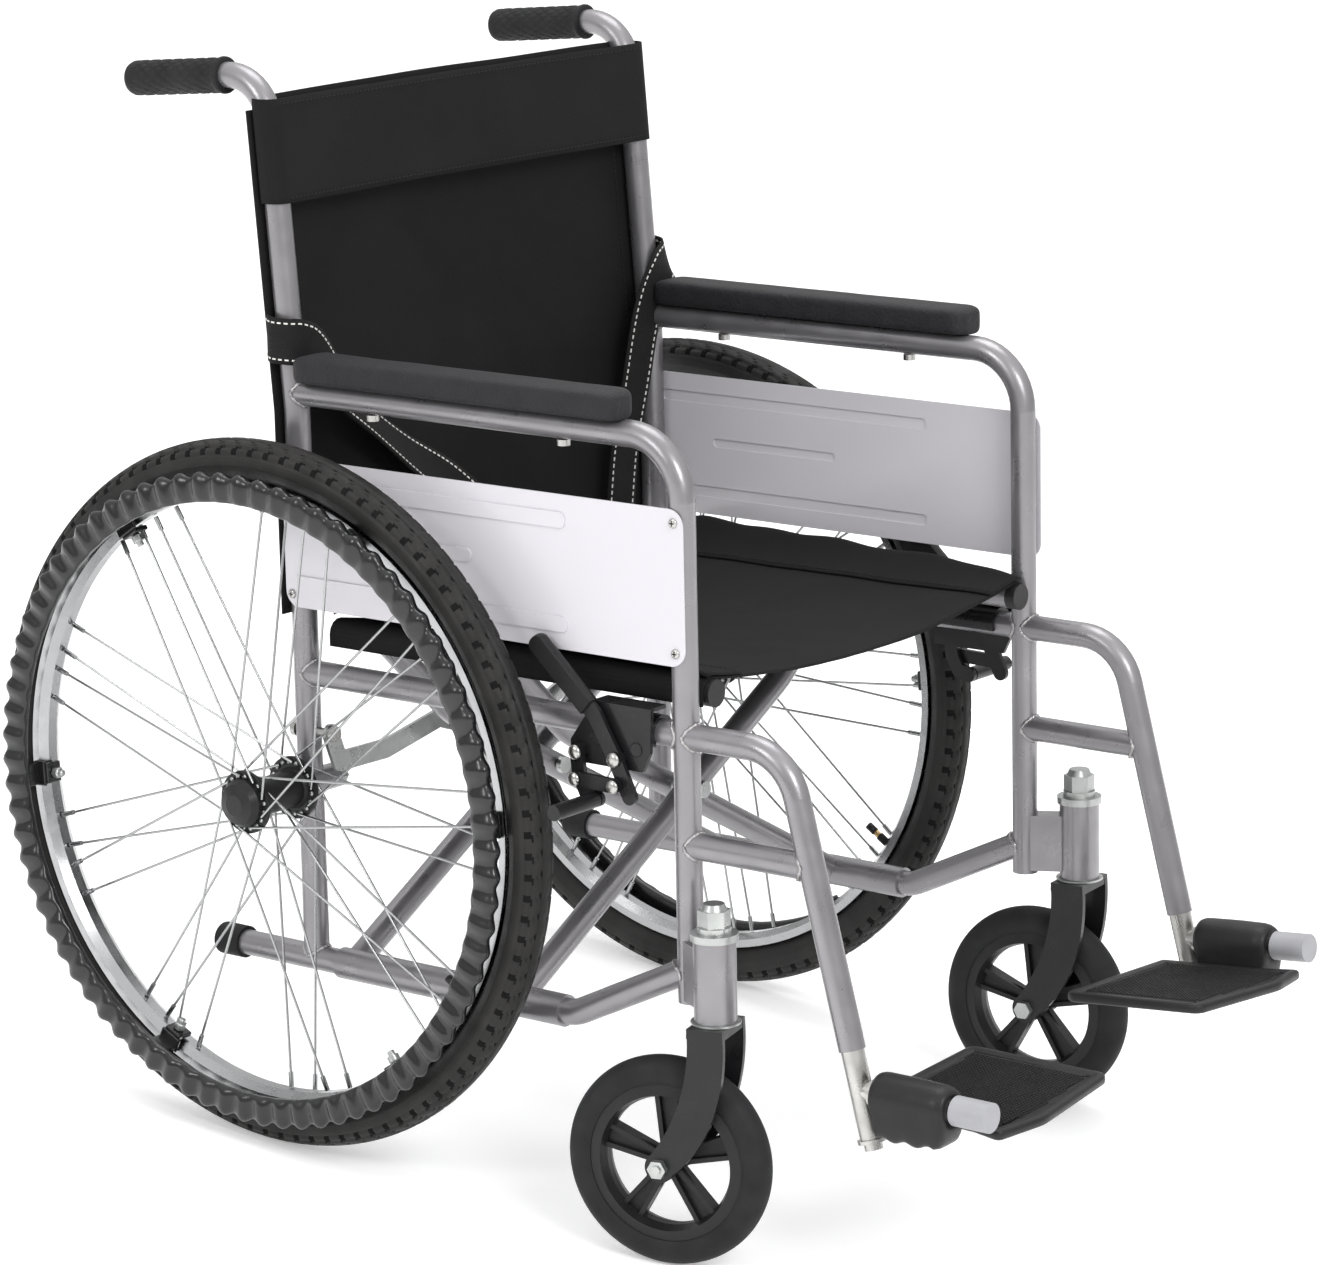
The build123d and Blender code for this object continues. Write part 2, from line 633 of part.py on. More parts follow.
# ---------------------------------------------------------------- caster
Z_CROWN = (181.0, 189.0)


def caster_z(side):
    """Height of the caster axle, in frame coordinates, that puts the wheel on the floor."""
    y = Y_STEM + TRAIL * math.cos(math.radians(CASTER_YAW[side]))
    return (R_CASTER + y * SIN_T) / COS_T


def make_fork(z_axle):
    """Fork with flat curved legs, its crown and its stem, set straight."""
    shape = None
    y_axle = Y_STEM + TRAIL
    for sx in (-1, 1):
        x0 = -X_STEM + sx * 22 - 2.5
        with BuildPart() as leg:
            with BuildSketch(Plane.YZ.offset(x0)):
                with BuildLine():
                    Spline((Y_STEM - 15, Z_CROWN[1]), (Y_STEM - 14, 150), (Y_STEM - 1, 105), (y_axle - 10, z_axle - 6))
                    Line((y_axle - 10, z_axle - 6), (y_axle + 9, z_axle + 8))
                    Spline((y_axle + 9, z_axle + 8), (Y_STEM + 27, 118), (Y_STEM + 17, 155), (Y_STEM + 16, Z_CROWN[1]))
                    Line((Y_STEM + 16, Z_CROWN[1]), (Y_STEM - 15, Z_CROWN[1]))
                make_face()
                with Locations((y_axle, z_axle)):
                    Circle(12.5)
            extrude(amount=5)
            with BuildSketch(Plane.YZ.offset(x0)):
                with Locations((y_axle, z_axle)):
                    Circle(4 + RUN)
            extrude(amount=5, mode=Mode.SUBTRACT)
        shape = leg.part if shape is None else shape + leg.part
    crown = Pos(-X_STEM, Y_STEM + 0.5, sum(Z_CROWN) / 2) * Box(49, 31, Z_CROWN[1] - Z_CROWN[0])
    crown = fillet(crown.edges().filter_by(Axis.Y).sort_by(Axis.Z)[-2:], 5)
    stem = Pos(-X_STEM, Y_STEM, (Z_CROWN[1] + 274) / 2) * Cylinder(R_STEM, 274 - Z_CROWN[1])
    return shape + crown + stem


def make_headset():
    """Chrome cups, lock nut and cap nut on the caster stem."""
    low = Pos(-X_STEM, Y_STEM, Z_HOUSING[0] - 0.9) * Cylinder(20.5, 1.6)
    nut_z = Z_HOUSING[1] + 0.3
    cone = Pos(-X_STEM, Y_STEM, nut_z + 3) * Cylinder(19.5, 6)
    lock = Pos(-X_STEM, Y_STEM, nut_z + 8.5) * Cylinder(14, 5)
    with BuildPart() as cap:
        with BuildSketch(Plane.XY.offset(nut_z + 11)):
            with Locations((-X_STEM, Y_STEM)):
                RegularPolygon(13.5, 6)
        extrude(amount=14)
        with BuildSketch(Plane.XY.offset(nut_z + 25)):
            with Locations((-X_STEM, Y_STEM)):
                Circle(11)
        extrude(amount=5, taper=25)
    upper = cone + lock + cap.part
    bore = Pos(-X_STEM, Y_STEM, 230) * Cylinder(R_STEM + RUN, 89)
    return Compound([low - bore, upper - bore])


def turned(points, x, y, z):
    """Revolve an (x offset, radius) profile about the X direction through a point."""
    with BuildPart() as body:
        with BuildSketch(Plane.XZ):
            with BuildLine():
                Polyline(*points, close=True)
            make_face()
        revolve(axis=Axis.X)
    return Pos(x, y, z) * body.part


CASTER_RIM = 66.0


def make_caster_wheel(z_axle):
    """Moulded five-spoke centre of the caster."""
    y_axle = Y_STEM + TRAIL
    rim = turned(((-11, CASTER_RIM), (-13, CASTER_RIM - 9), (-4, CASTER_RIM - 12), (4, CASTER_RIM - 12),
                  (13, CASTER_RIM - 9), (11, CASTER_RIM)), -X_STEM, y_axle, z_axle)
    hub = along_x(y_axle, z_axle, -X_STEM - 18, -X_STEM + 18, 13)
    shape = rim + hub
    for k in range(5):
        spoke = Pos(0, 0, 33.5) * Box(5, 15, 45)
        for lean in (-6, 6):
            spoke = spoke + Pos(0, lean, 33.5) * Rot(X=-lean) * Box(13, 4, 45)
        shape = shape + Pos(-X_STEM, y_axle, z_axle) * Rot(X=72 * k) * spoke
    return shape - along_x(y_axle, z_axle, -X_STEM - 25, -X_STEM + 25, 4 + RUN)


def make_caster_tyre(z_axle):
    """Solid rubber tyre of the caster."""
    major = R_CASTER - R_CASTER_TYRE
    with BuildPart() as tyre:
        with BuildSketch(Plane.XZ):
            with Locations((0, major)):
                Circle(R_CASTER_TYRE)
            with Locations((0, CASTER_RIM - 20 + 0.1)):
                Rectangle(60, 40, mode=Mode.SUBTRACT)
        revolve(axis=Axis.X)
    return Pos(-X_STEM, Y_STEM + TRAIL, z_axle) * tyre.part


def make_caster_axle(z_axle):
    """Caster axle bolt with a head and a nut outside the fork."""
    y_axle = Y_STEM + TRAIL
    bolt = along_x(y_axle, z_axle, -X_STEM - 33, -X_STEM + 29, 4)
    with BuildPart() as ends:
        for x in (-X_STEM - 31, -X_STEM + 24.7):
            with BuildSketch(Plane.YZ.offset(x)):
                with Locations((y_axle, z_axle)):
                    RegularPolygon(8, 6)
            extrude(amount=6.2)
    return bolt + ends.part


def caster_place(shape, side):
    """Mirror a caster piece if needed, swing it to its rest angle and lean it with the chair."""
    x = side * X_STEM
    placed = mirrored(shape, side)
    swung = Pos(x, Y_STEM, 0) * Rot(Z=CASTER_YAW[side]) * Pos(-x, -Y_STEM, 0) * placed
    return tilted(swung)


# ---------------------------------------------------------------- footrest
BAR_Y = (hanger_y(Z_HINGE) - 4, -521.0)
SLEEVE_FOOT_Y = (-417.0, -488.0)
WALL_FOOT_Y = -424.0
PLATE_DROP = 16.0
PLATE_THICK = 8.0


def make_footrest_tube(side):
    """Sliding inner tube with the hinge bar for the footplate and the clamp bolt at its foot."""
    top = (-X_FRAME, hanger_y(Z_INNER_TOP), Z_INNER_TOP)
    bottom = (-X_FRAME, hanger_y(Z_INNER_END), Z_INNER_END)
    tube = rod(bottom, top, R_INNER)
    tube = tube - rod(bottom, top, R_INNER - WALL)
    slope = math.radians(HANG_SLOPE)
    down = (0, -math.sin(slope), -math.cos(slope))

    def below(d):
        return tuple(bottom[i] + d * down[i] for i in range(3))

    tube = tube + rod(bottom, below(3), 12) + rod(below(3), below(9), 7.5)
    bar = hinge_place(along_y(-X_FRAME, Z_HINGE, BAR_Y[0], BAR_Y[1], R_BAR), side)
    collar = hinge_place(along_y(-X_FRAME, Z_HINGE, BAR_Y[0] - 8, SLEEVE_FOOT_Y[0] + 0.5, 11), side)
    return tube + (collar + bar - rod(bottom, top, R_INNER - 0.5))


def hinge_place(shape, side):
    """Raise the front of a footplate piece about the rear end of its hinge bar."""
    y = BAR_Y[0]
    return Pos(0, y, Z_HINGE) * Rot(X=-BAR_RISE[side]) * Pos(0, -y, -Z_HINGE) * shape


def make_footplate(side):
    """Moulded footplate with the sleeve it turns on."""
    top = Z_HINGE - PLATE_DROP
    with BuildPart() as plate:
        with BuildSketch(Plane.XY.offset(top)) as outline:
            with BuildLine():
                Polyline((-222, -386), (-69, -386), (-69, -521), (-177, -533), (-226, -522), (-230, -489), (-222, -489),
                         close=True)
            make_face()
            fillet(outline.vertices().sort_by(Axis.X)[-2:], 12)
            fillet(outline.vertices().sort_by(Axis.Y)[0], 40)
        extrude(amount=-PLATE_THICK)
        with BuildSketch(Plane.XZ.offset(-SLEEVE_FOOT_Y[0])):
            with Locations((-X_FRAME, Z_HINGE)):
                Circle(18.5)
        extrude(amount=SLEEVE_FOOT_Y[0] - SLEEVE_FOOT_Y[1])
        with BuildSketch(Plane.XZ.offset(-WALL_FOOT_Y)):
            with Locations((-X_FRAME - 1, Z_HINGE - 15)):
                Rectangle(35, 30)
        extrude(amount=WALL_FOOT_Y - SLEEVE_FOOT_Y[1])
    shape = plate.part - along_y(-X_FRAME, Z_HINGE, -600, -300, R_BAR + RUN)
    rolled = Pos(-X_FRAME, 0, Z_HINGE) * Rot(Y=-PLATE_ROLL) * Pos(X_FRAME, 0, -Z_HINGE) * shape
    return hinge_place(rolled, side)


def make_foot_cap(side):
    """Grey plastic cap on the end of the hinge bar."""
    cap = along_y(-X_FRAME, Z_HINGE, -491, BAR_Y[1] - 3, 12.2)
    cap = cap - along_y(-X_FRAME, Z_HINGE, -490, BAR_Y[1] - 0.2, R_BAR + 0.05)
    return hinge_place(cap, side)


def raised(shape, side):
    """The left-hand footrest is pushed further in than the right-hand one."""
    if side < 0:
        return shape
    return Pos(0, HANG_TAN * LEFT_RAISE, LEFT_RAISE) * shape


# ---------------------------------------------------------------- upholstery
SEAT_Y = (-238.0, 162.0)
SEAT_Z = Z_RAIL + R_TUBE + GAP
SEAT_THICK = 3.0
BACK_Z = (468.0, 880.0)
BAND_Z = (815.0, 902.0)
BACK_THICK = 2.5


def make_seat():
    """Seat sling over the two rails, with a hem down the outside of each."""
    half = X_RAIL + R_TUBE
    with BuildPart() as seat:
        with BuildSketch(Plane.XY.offset(SEAT_Z)):
            with Locations((0, sum(SEAT_Y) / 2)):
                Rectangle(2 * half, SEAT_Y[1] - SEAT_Y[0])
        extrude(amount=SEAT_THICK)
        for side in (-1, 1):
            with BuildSketch(Plane.XY.offset(Z_RAIL - 6)):
                with Locations((side * (half + GAP + 0.5), (SEAT_Y[1] - 212) / 2)):
                    Rectangle(1.0, SEAT_Y[1] + 212)
            extrude(amount=SEAT_Z + SEAT_THICK - Z_RAIL + 6)
            with BuildSketch(Plane.XY.offset(SEAT_Z)):
                with Locations((side * (half + GAP / 2), (SEAT_Y[1] - 212) / 2)):
                    Rectangle(2 * GAP, SEAT_Y[1] + 212)
            extrude(amount=SEAT_THICK)
    return seat.part


def back_strip(z0, z1, offset0, offset1, x0, x1):
    """A sheet that follows the back posts between two heights, at two offsets behind their centre line."""
    heights = [z0] + ([Z_LEAN] if z0 < Z_LEAN < z1 else []) + [z1]
    front = [(post_y(z) + offset0, z) for z in heights]
    rear = [(post_y(z) + offset1, z) for z in reversed(heights)]
    with BuildPart() as strip:
        with BuildSketch(Plane.YZ.offset(x0)):
            with BuildLine():
                Polyline(*front, *rear, close=True)
            make_face()
        extrude(amount=x1 - x0)
    return strip.part


def make_backrest():
    """Back sling behind the posts, with a band that wraps round their fronts at the top."""
    clear = R_TUBE + GAP + 0.2
    outer = clear + BACK_THICK
    half = X_FRAME + outer
    shape = back_strip(*BACK_Z, clear, outer, -half, half)
    shape = shape + back_strip(*BAND_Z, -outer, -clear, -half, half)
    for side in (-1, 1):
        x0, x1 = sorted((side * half, side * (X_FRAME + clear)))
        shape = shape + back_strip(BAND_Z[0], BACK_Z[1], -outer, outer, x0, x1)
    return shape


BELT_WIDTH = 48.0
BELT_THICK = 2.0
BELT_Z = 702.0
BELT_STARTS = {-1: 224.0, 1: 198.0}
BELT_ENDS = {-1: (60.0, 500.0), 1: (196.0, 500.0)}
BELT_Y = Y_BACK - R_TUBE - 1.2


def make_belt():
    """Two lap straps, each passed round a back post and running down to the seat."""
    straps = []
    for side in (-1, 1):
        x_out = X_FRAME + R_TUBE + 5.5
        start = (side * BELT_STARTS[side], BELT_Z - 6)
        end = (side * BELT_ENDS[side][0], BELT_ENDS[side][1])
        length = math.hypot(end[0] - start[0], end[1] - start[1])
        angle = math.degrees(math.atan2(end[1] - start[1], end[0] - start[0]))
        with BuildPart() as strap:
            with BuildSketch(Plane.XZ.offset(-BELT_Y)):
                with Locations(((start[0] + end[0]) / 2, (start[1] + end[1]) / 2)):
                    Rectangle(length, BELT_WIDTH, rotation=angle)
            extrude(amount=BELT_THICK)
        with BuildPart() as loop:
            with BuildSketch(Plane.XY.offset(BELT_Z - BELT_WIDTH / 2)):
                with Locations((side * (X_FRAME - 4.25), BELT_Y - BELT_THICK / 2)):
                    Rectangle(x_out * 2 - 2 * X_FRAME + 8.5 + 12, BELT_THICK)
                with Locations((side * (x_out + 1.75 - BELT_THICK / 2), Y_BACK + 5)):
                    Rectangle(BELT_THICK, 38)
                with Locations((side * (X_FRAME - 4.25), Y_BACK + 23)):
                    Rectangle(x_out * 2 - 2 * X_FRAME + 8.5 + 12, BELT_THICK)
            extrude(amount=BELT_WIDTH)
        straps.append(strap.part + loop.part)
    return Compound(straps)


# ---------------------------------------------------------------- pieces of both sides
frame_shape = make_frame()
for side, name in ((-1, "right"), (1, "left")):
    finish(tilted(mirrored(frame_shape, side)), f"frame_{name}")
    finish(tilted(mirrored(make_grip(), side)), f"grip_{name}")
    finish(tilted(mirrored(make_pad(), side)), f"arm_pad_{name}")
    finish(tilted(mirrored(make_panel(), side)), f"side_panel_{name}")
    finish(tilted(mirrored(make_tip_cap(), side)), f"tip_cap_{name}")
    finish(tilted(mirrored(make_screws(side), side)), f"screws_{name}")
    finish(tilted(mirrored(make_axle(), side)), f"axle_{name}")
    finish(tilted(make_link(side)), f"stay_link_{name}")

    finish(tilted(mirrored(make_bracket(), side)), f"brake_bracket_{name}")
    finish(tilted(mirrored(make_lever(), side)), f"brake_lever_{name}")
    finish(tilted(mirrored(make_lever_grip(), side)), f"brake_grip_{name}")
    finish(tilted(mirrored(make_coupler(), side)), f"brake_coupler_{name}")
    brake_arm = Compound([make_brake_arm(), make_brake_shoe()])
    finish(tilted(mirrored(brake_arm, side)), f"brake_arm_{name}")

    finish(mirrored(make_tyre(), side), f"tyre_{name}")
    finish(mirrored(make_rim(), side), f"rim_{name}")
    finish(mirrored(make_hub(), side), f"hub_{name}")
    finish(mirrored(make_spokes(), side), f"spokes_{name}")
    finish(mirrored(make_handrim(), side), f"handrim_{name}")

    z_axle = caster_z(side)
    finish(caster_place(make_fork(z_axle), side), f"caster_fork_{name}")
    finish(caster_place(make_headset(), side), f"caster_headset_{name}")
    finish(caster_place(make_caster_wheel(z_axle), side), f"caster_wheel_{name}")
    finish(caster_place(make_caster_tyre(z_axle), side), f"caster_tyre_{name}")
    finish(caster_place(make_caster_axle(z_axle), side), f"caster_axle_{name}")

    finish(tilted(raised(mirrored(make_footrest_tube(side), side), side)), f"footrest_tube_{name}")
    finish(tilted(raised(mirrored(make_footplate(side), side), side)), f"footplate_{name}")
    finish(tilted(raised(mirrored(make_foot_cap(side), side), side)), f"footrest_cap_{name}")

# ---------------------------------------------------------------- pieces in the middle
finish(tilted(make_cross(-1, LEG_Y_OUTER)), "cross_outer")
finish(tilted(make_cross(1, LEG_Y_INNER)), "cross_inner")
finish(tilted(make_rail_caps(-1)), "rail_caps_outer")
finish(tilted(make_rail_caps(1)), "rail_caps_inner")
finish(tilted(make_pivot_bolts()), "pivot_bolts")
finish(tilted(make_seat()), "seat_sling")
finish(tilted(make_backrest()), "backrest")
finish(tilted(make_belt()), "lap_belt")
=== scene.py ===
import math

import bpy
import numpy as np
from mathutils import Matrix, Vector, noise


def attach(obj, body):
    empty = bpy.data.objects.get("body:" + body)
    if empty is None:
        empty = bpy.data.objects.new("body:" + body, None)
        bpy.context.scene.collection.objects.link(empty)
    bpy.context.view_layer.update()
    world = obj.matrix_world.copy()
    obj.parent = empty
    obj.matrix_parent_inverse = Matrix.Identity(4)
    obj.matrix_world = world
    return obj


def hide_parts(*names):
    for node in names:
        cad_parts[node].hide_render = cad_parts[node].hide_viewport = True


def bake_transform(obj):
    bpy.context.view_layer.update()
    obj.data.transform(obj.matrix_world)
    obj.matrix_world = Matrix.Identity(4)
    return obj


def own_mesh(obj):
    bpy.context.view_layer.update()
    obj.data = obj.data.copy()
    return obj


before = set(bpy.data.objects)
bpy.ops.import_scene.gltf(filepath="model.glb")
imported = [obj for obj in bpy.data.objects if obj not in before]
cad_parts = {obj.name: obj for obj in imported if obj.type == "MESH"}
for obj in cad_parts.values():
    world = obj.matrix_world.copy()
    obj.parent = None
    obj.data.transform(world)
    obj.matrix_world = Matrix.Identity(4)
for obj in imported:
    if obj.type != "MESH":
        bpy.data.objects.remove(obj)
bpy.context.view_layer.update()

# ---------------------------------------------------------------- sizes (millimetres) and placing
TILT = math.radians(4.6)
Y_ORIGIN = 2.93
MM = 0.001
SHIFT = Matrix.Translation((0, Y_ORIGIN * MM, 0))
SCALE = Matrix.Diagonal((MM, MM, MM, 1))
STAND = SHIFT @ SCALE
LEAN = SHIFT @ Matrix.Rotation(-TILT, 4, "X") @ SCALE

R_TUBE = 11.0
X_FRAME = 238.0
Y_FRONT = -230.0
Y_BACK = 180.0
Z_ARM = 656.0
Z_SIDE = 415.0
Z_BRACE = 325.0
Z_LOW = 163.0
Z_LEAN = 640.0
LEAN_BACK = math.radians(4.5)
Y_HANGER = -330.5
HANGER_SLOPE = math.tan(math.radians(14.5))
Y_LOW_BEND = -108.0
LOW_RISE = math.radians(25.5)
WHEEL_CENTRE = (294.4, 200.3, 305.0)
R_WHEEL = 305.0
X_RAIL = 214.5
Z_RAIL = 447.0
SIDES = ((-1, "right"), (1, "left"))


def post_y(z):
    """Y of a back post's centre line at a height."""
    return Y_BACK + max(0.0, z - Z_LEAN) * math.tan(LEAN_BACK)


# ---------------------------------------------------------------- materials
def material(name, colour, rough=0.5, metal=0.0, coat=0.0, grain=0.0, grain_scale=300.0,
             mottle=0.0, mottle_scale=30.0, sheen=0.0, wear=0.0, shine=0.5):
    """A principled material with a fine bump, an uneven roughness and an uneven colour."""
    mat = bpy.data.materials.new(name)
    mat.use_nodes = True
    tree = mat.node_tree
    nodes, links = tree.nodes, tree.links
    bsdf = nodes["Principled BSDF"]
    bsdf.inputs["Base Color"].default_value = (*colour, 1)
    bsdf.inputs["Roughness"].default_value = rough
    bsdf.inputs["Metallic"].default_value = metal
    bsdf.inputs["Specular IOR Level"].default_value = shine
    bsdf.inputs["Coat Weight"].default_value = coat
    bsdf.inputs["Coat Roughness"].default_value = 0.12
    bsdf.inputs["Sheen Weight"].default_value = sheen
    bsdf.inputs["Sheen Roughness"].default_value = 0.5
    coords = nodes.new("ShaderNodeTexCoord")
    if mottle:
        cloud = nodes.new("ShaderNodeTexNoise")
        cloud.inputs["Scale"].default_value = mottle_scale
        cloud.inputs["Detail"].default_value = 6
        ramp = nodes.new("ShaderNodeValToRGB")
        low = [c * (1 - mottle) for c in colour]
        high = [min(1, c * (1 + mottle)) for c in colour]
        ramp.color_ramp.elements[0].color = (*low, 1)
        ramp.color_ramp.elements[1].color = (*high, 1)
        ramp.color_ramp.elements[0].position = 0.3
        ramp.color_ramp.elements[1].position = 0.7
        links.new(coords.outputs["Object"], cloud.inputs["Vector"])
        links.new(cloud.outputs["Fac"], ramp.inputs["Fac"])
        links.new(ramp.outputs["Color"], bsdf.inputs["Base Color"])
    if wear:
        smear = nodes.new("ShaderNodeTexNoise")
        smear.inputs["Scale"].default_value = 45
        smear.inputs["Detail"].default_value = 8
        span = nodes.new("ShaderNodeMapRange")
        span.inputs["From Min"].default_value = 0.35
        span.inputs["From Max"].default_value = 0.65
        span.inputs["To Min"].default_value = max(0.02, rough - wear)
        span.inputs["To Max"].default_value = min(1, rough + wear)
        links.new(coords.outputs["Object"], smear.inputs["Vector"])
        links.new(smear.outputs["Fac"], span.inputs["Value"])
        links.new(span.outputs["Result"], bsdf.inputs["Roughness"])
    if grain:
        fine = nodes.new("ShaderNodeTexNoise")
        fine.inputs["Scale"].default_value = grain_scale
        fine.inputs["Detail"].default_value = 4
        bump = nodes.new("ShaderNodeBump")
        bump.inputs["Strength"].default_value = grain
        bump.inputs["Distance"].default_value = 0.001
        links.new(coords.outputs["Object"], fine.inputs["Vector"])
        links.new(fine.outputs["Fac"], bump.inputs["Height"])
        links.new(bump.outputs["Normal"], bsdf.inputs["Normal"])
    return mat


def weave(mat, pitch, strength, turn=(0, 0, 0)):
    """Add a plain weave of crossed threads to a material, pitch metres apart."""
    tree = mat.node_tree
    nodes, links = tree.nodes, tree.links
    bsdf = nodes["Principled BSDF"]
    coords = nodes.new("ShaderNodeTexCoord")
    mapping = nodes.new("ShaderNodeMapping")
    mapping.inputs["Rotation"].default_value = turn
    links.new(coords.outputs["Object"], mapping.inputs["Vector"])
    waves = []
    for direction in ("X", "Y"):
        wave = nodes.new("ShaderNodeTexWave")
        wave.bands_direction = direction
        wave.inputs["Scale"].default_value = 1 / pitch / 3.14
        wave.inputs["Distortion"].default_value = 0.6
        wave.inputs["Detail"].default_value = 2
        links.new(mapping.outputs["Vector"], wave.inputs["Vector"])
        waves.append(wave)
    product = nodes.new("ShaderNodeMath")
    product.operation = "MULTIPLY"
    links.new(waves[0].outputs["Fac"], product.inputs[0])
    links.new(waves[1].outputs["Fac"], product.inputs[1])
    bump = nodes.new("ShaderNodeBump")
    bump.inputs["Strength"].default_value = strength
    bump.inputs["Distance"].default_value = 0.0006
    links.new(product.outputs["Value"], bump.inputs["Height"])
    links.new(bump.outputs["Normal"], bsdf.inputs["Normal"])
    return mat


SLING_COLOUR = (0.012, 0.0118, 0.0122)
SLING = {"rough": 0.82, "mottle": 0.12, "mottle_scale": 9, "sheen": 0.02, "shine": 0.12}
SLING_PITCH = 0.0011
UPRIGHT = (math.pi / 2, 0, 0)
MAT = {
    "paint": material("silver_paint", (0.27, 0.262, 0.275), 0.33, 0.7, 0.3, 0.12, 900, 0.05, 18, wear=0.07),
    "weld": material("weld_bead", (0.42, 0.41, 0.41), 0.3, 0.8, 0.1, 0.6, 700, 0.25, 160, wear=0.12),
    # the groove rubber is a darker copy of the tyre rubber: painted shade for the floor of the tread's
    # grooves
    "groove": material("tread_groove_painted_shade", (0.011, 0.0105, 0.0105), 0.75, 0, 0, 0.2, 500, 0.2, 60, shine=0.05),
    "zinc": material("zinc_plate", (0.47, 0.485, 0.475), 0.34, 0.9, 0, 0.1, 500, 0.12, 60, wear=0.12),
    "steel": material("bright_steel", (0.50, 0.495, 0.475), 0.3, 0.95, 0, 0.08, 600, 0.08, 80, wear=0.1),
    "chrome": material("chrome", (0.42, 0.425, 0.43), 0.26, 1.0, 0, 0.03, 400, 0.03, 30, wear=0.06),
    "black_paint": material("black_paint", (0.010, 0.010, 0.011), 0.34, 0, 0.12, 0.15, 500, 0.1, 40,
                            wear=0.08, shine=0.3),
    "rubber": material("black_rubber", (0.016, 0.016, 0.017), 0.62, 0, 0, 0.3, 700, 0.2, 40,
                       wear=0.08, shine=0.2),
    "tyre": material("tyre_rubber", (0.022, 0.021, 0.0205), 0.52, 0, 0, 0.35, 500, 0.25, 25,
                     wear=0.1, shine=0.2),
    "plastic": material("black_plastic", (0.013, 0.0125, 0.0133), 0.4, 0, 0.05, 0.35, 900, 0.12, 50,
                        wear=0.06, shine=0.28),
    "gloss": material("gloss_black", (0.009, 0.009, 0.010), 0.24, 0, 0.1, 0.1, 250, 0.1, 40,
                      wear=0.06, shine=0.5),
    "panel": material("white_panel", (0.62, 0.605, 0.64), 0.3, 0, 0.3, 0.02, 150, 0.012, 8, wear=0.015),
    "vinyl": material("pad_vinyl", (0.016, 0.0152, 0.0175), 0.6, 0, 0, 1.0, 330, 0.15, 60,
                      sheen=0.03, shine=0.25),
    "fabric": weave(material("sling_fabric", SLING_COLOUR, **SLING), SLING_PITCH, 0.5),
    "fabric_back": weave(material("sling_fabric_back", SLING_COLOUR, **SLING), SLING_PITCH, 0.5, UPRIGHT),
    "web": weave(material("belt_web", (0.012, 0.0115, 0.012), 0.78, mottle=0.15, mottle_scale=40,
                          sheen=0.03, shine=0.15), 0.0016, 0.7, (math.pi / 2, 0, 0.6)),
    "thread": material("white_thread", (0.72, 0.71, 0.68), 0.7, 0, 0, 0.3, 900, 0.08, 200),
    "dark_thread": material("black_thread", (0.02, 0.02, 0.02), 0.7, 0, 0, 0.3, 900, 0.1, 200, shine=0.2),
    "grey_plastic": material("grey_plastic", (0.33, 0.33, 0.35), 0.45, 0, 0, 0.1, 400, 0.04, 60, wear=0.05),
    "brass": material("brass", (0.6, 0.42, 0.2), 0.35, 0.9, 0, 0.05, 300, 0.1, 60),
}

CAD_LOOKS = {
    "frame": "paint", "grip": "rubber", "side_panel": "panel", "tip_cap": "rubber", "screws": "steel",
    "axle": "zinc", "brake_bracket": "black_paint", "brake_lever": "black_paint", "brake_grip": "plastic",
    "brake_coupler": "black_paint", "brake_arm": "black_paint", "tyre": "tyre", "rim": "chrome",
    "hub": "plastic", "spokes": "chrome", "handrim": "gloss", "caster_fork": "black_paint",
    "caster_headset": "zinc", "caster_wheel": "plastic", "caster_tyre": "rubber", "caster_axle": "zinc",
    "footrest_tube": "steel", "footplate": "plastic", "footrest_cap": "grey_plastic", "stay_link": "zinc",
    "cross_outer": "paint", "cross_inner": "paint", "rail_caps": "plastic", "pivot_bolts": "zinc",
    "arm_pad": "vinyl", "seat_sling": "fabric", "backrest": "fabric", "lap_belt": "web",
}


def cad_look(node):
    """The look of a CAD node, from the start of its name."""
    for start, look in CAD_LOOKS.items():
        if node.startswith(start):
            return MAT[look]
    return MAT["paint"]


def shade_by_angle(obj, degrees):
    """Shade an object smooth, apart from edges sharper than an angle."""
    bpy.context.view_layer.objects.active = obj
    obj.select_set(True)
    bpy.ops.object.shade_auto_smooth(angle=math.radians(degrees))
    obj.select_set(False)


for node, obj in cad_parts.items():
    obj.data.materials.clear()
    obj.data.materials.append(cad_look(node))
    for face in obj.data.polygons:
        face.use_smooth = True
    shade_by_angle(obj, 32)


# ---------------------------------------------------------------- mesh helpers
def add_mesh(name, verts, faces, mat, place=LEAN, smooth=True):
    """A new object from points in millimetres."""
    mesh = bpy.data.meshes.new(name)
    mesh.from_pydata([tuple(place @ Vector(v)) for v in verts], [], faces)
    mesh.update()
    mesh.materials.append(mat)
    for face in mesh.polygons:
        face.use_smooth = smooth
    obj = bpy.data.objects.new(name, mesh)
    bpy.context.scene.collection.objects.link(obj)
    return obj


def grid_faces(rows, cols, close_rows=False, close_cols=False):
    """Quads of a grid of rows by cols points, closed round either way if asked."""
    faces = []
    for i in range(rows if close_rows else rows - 1):
        for j in range(cols if close_cols else cols - 1):
            a, b = i * cols + j, i * cols + (j + 1) % cols
            c, d = ((i + 1) % rows) * cols + (j + 1) % cols, ((i + 1) % rows) * cols + j
            faces.append((a, b, c, d))
    return faces


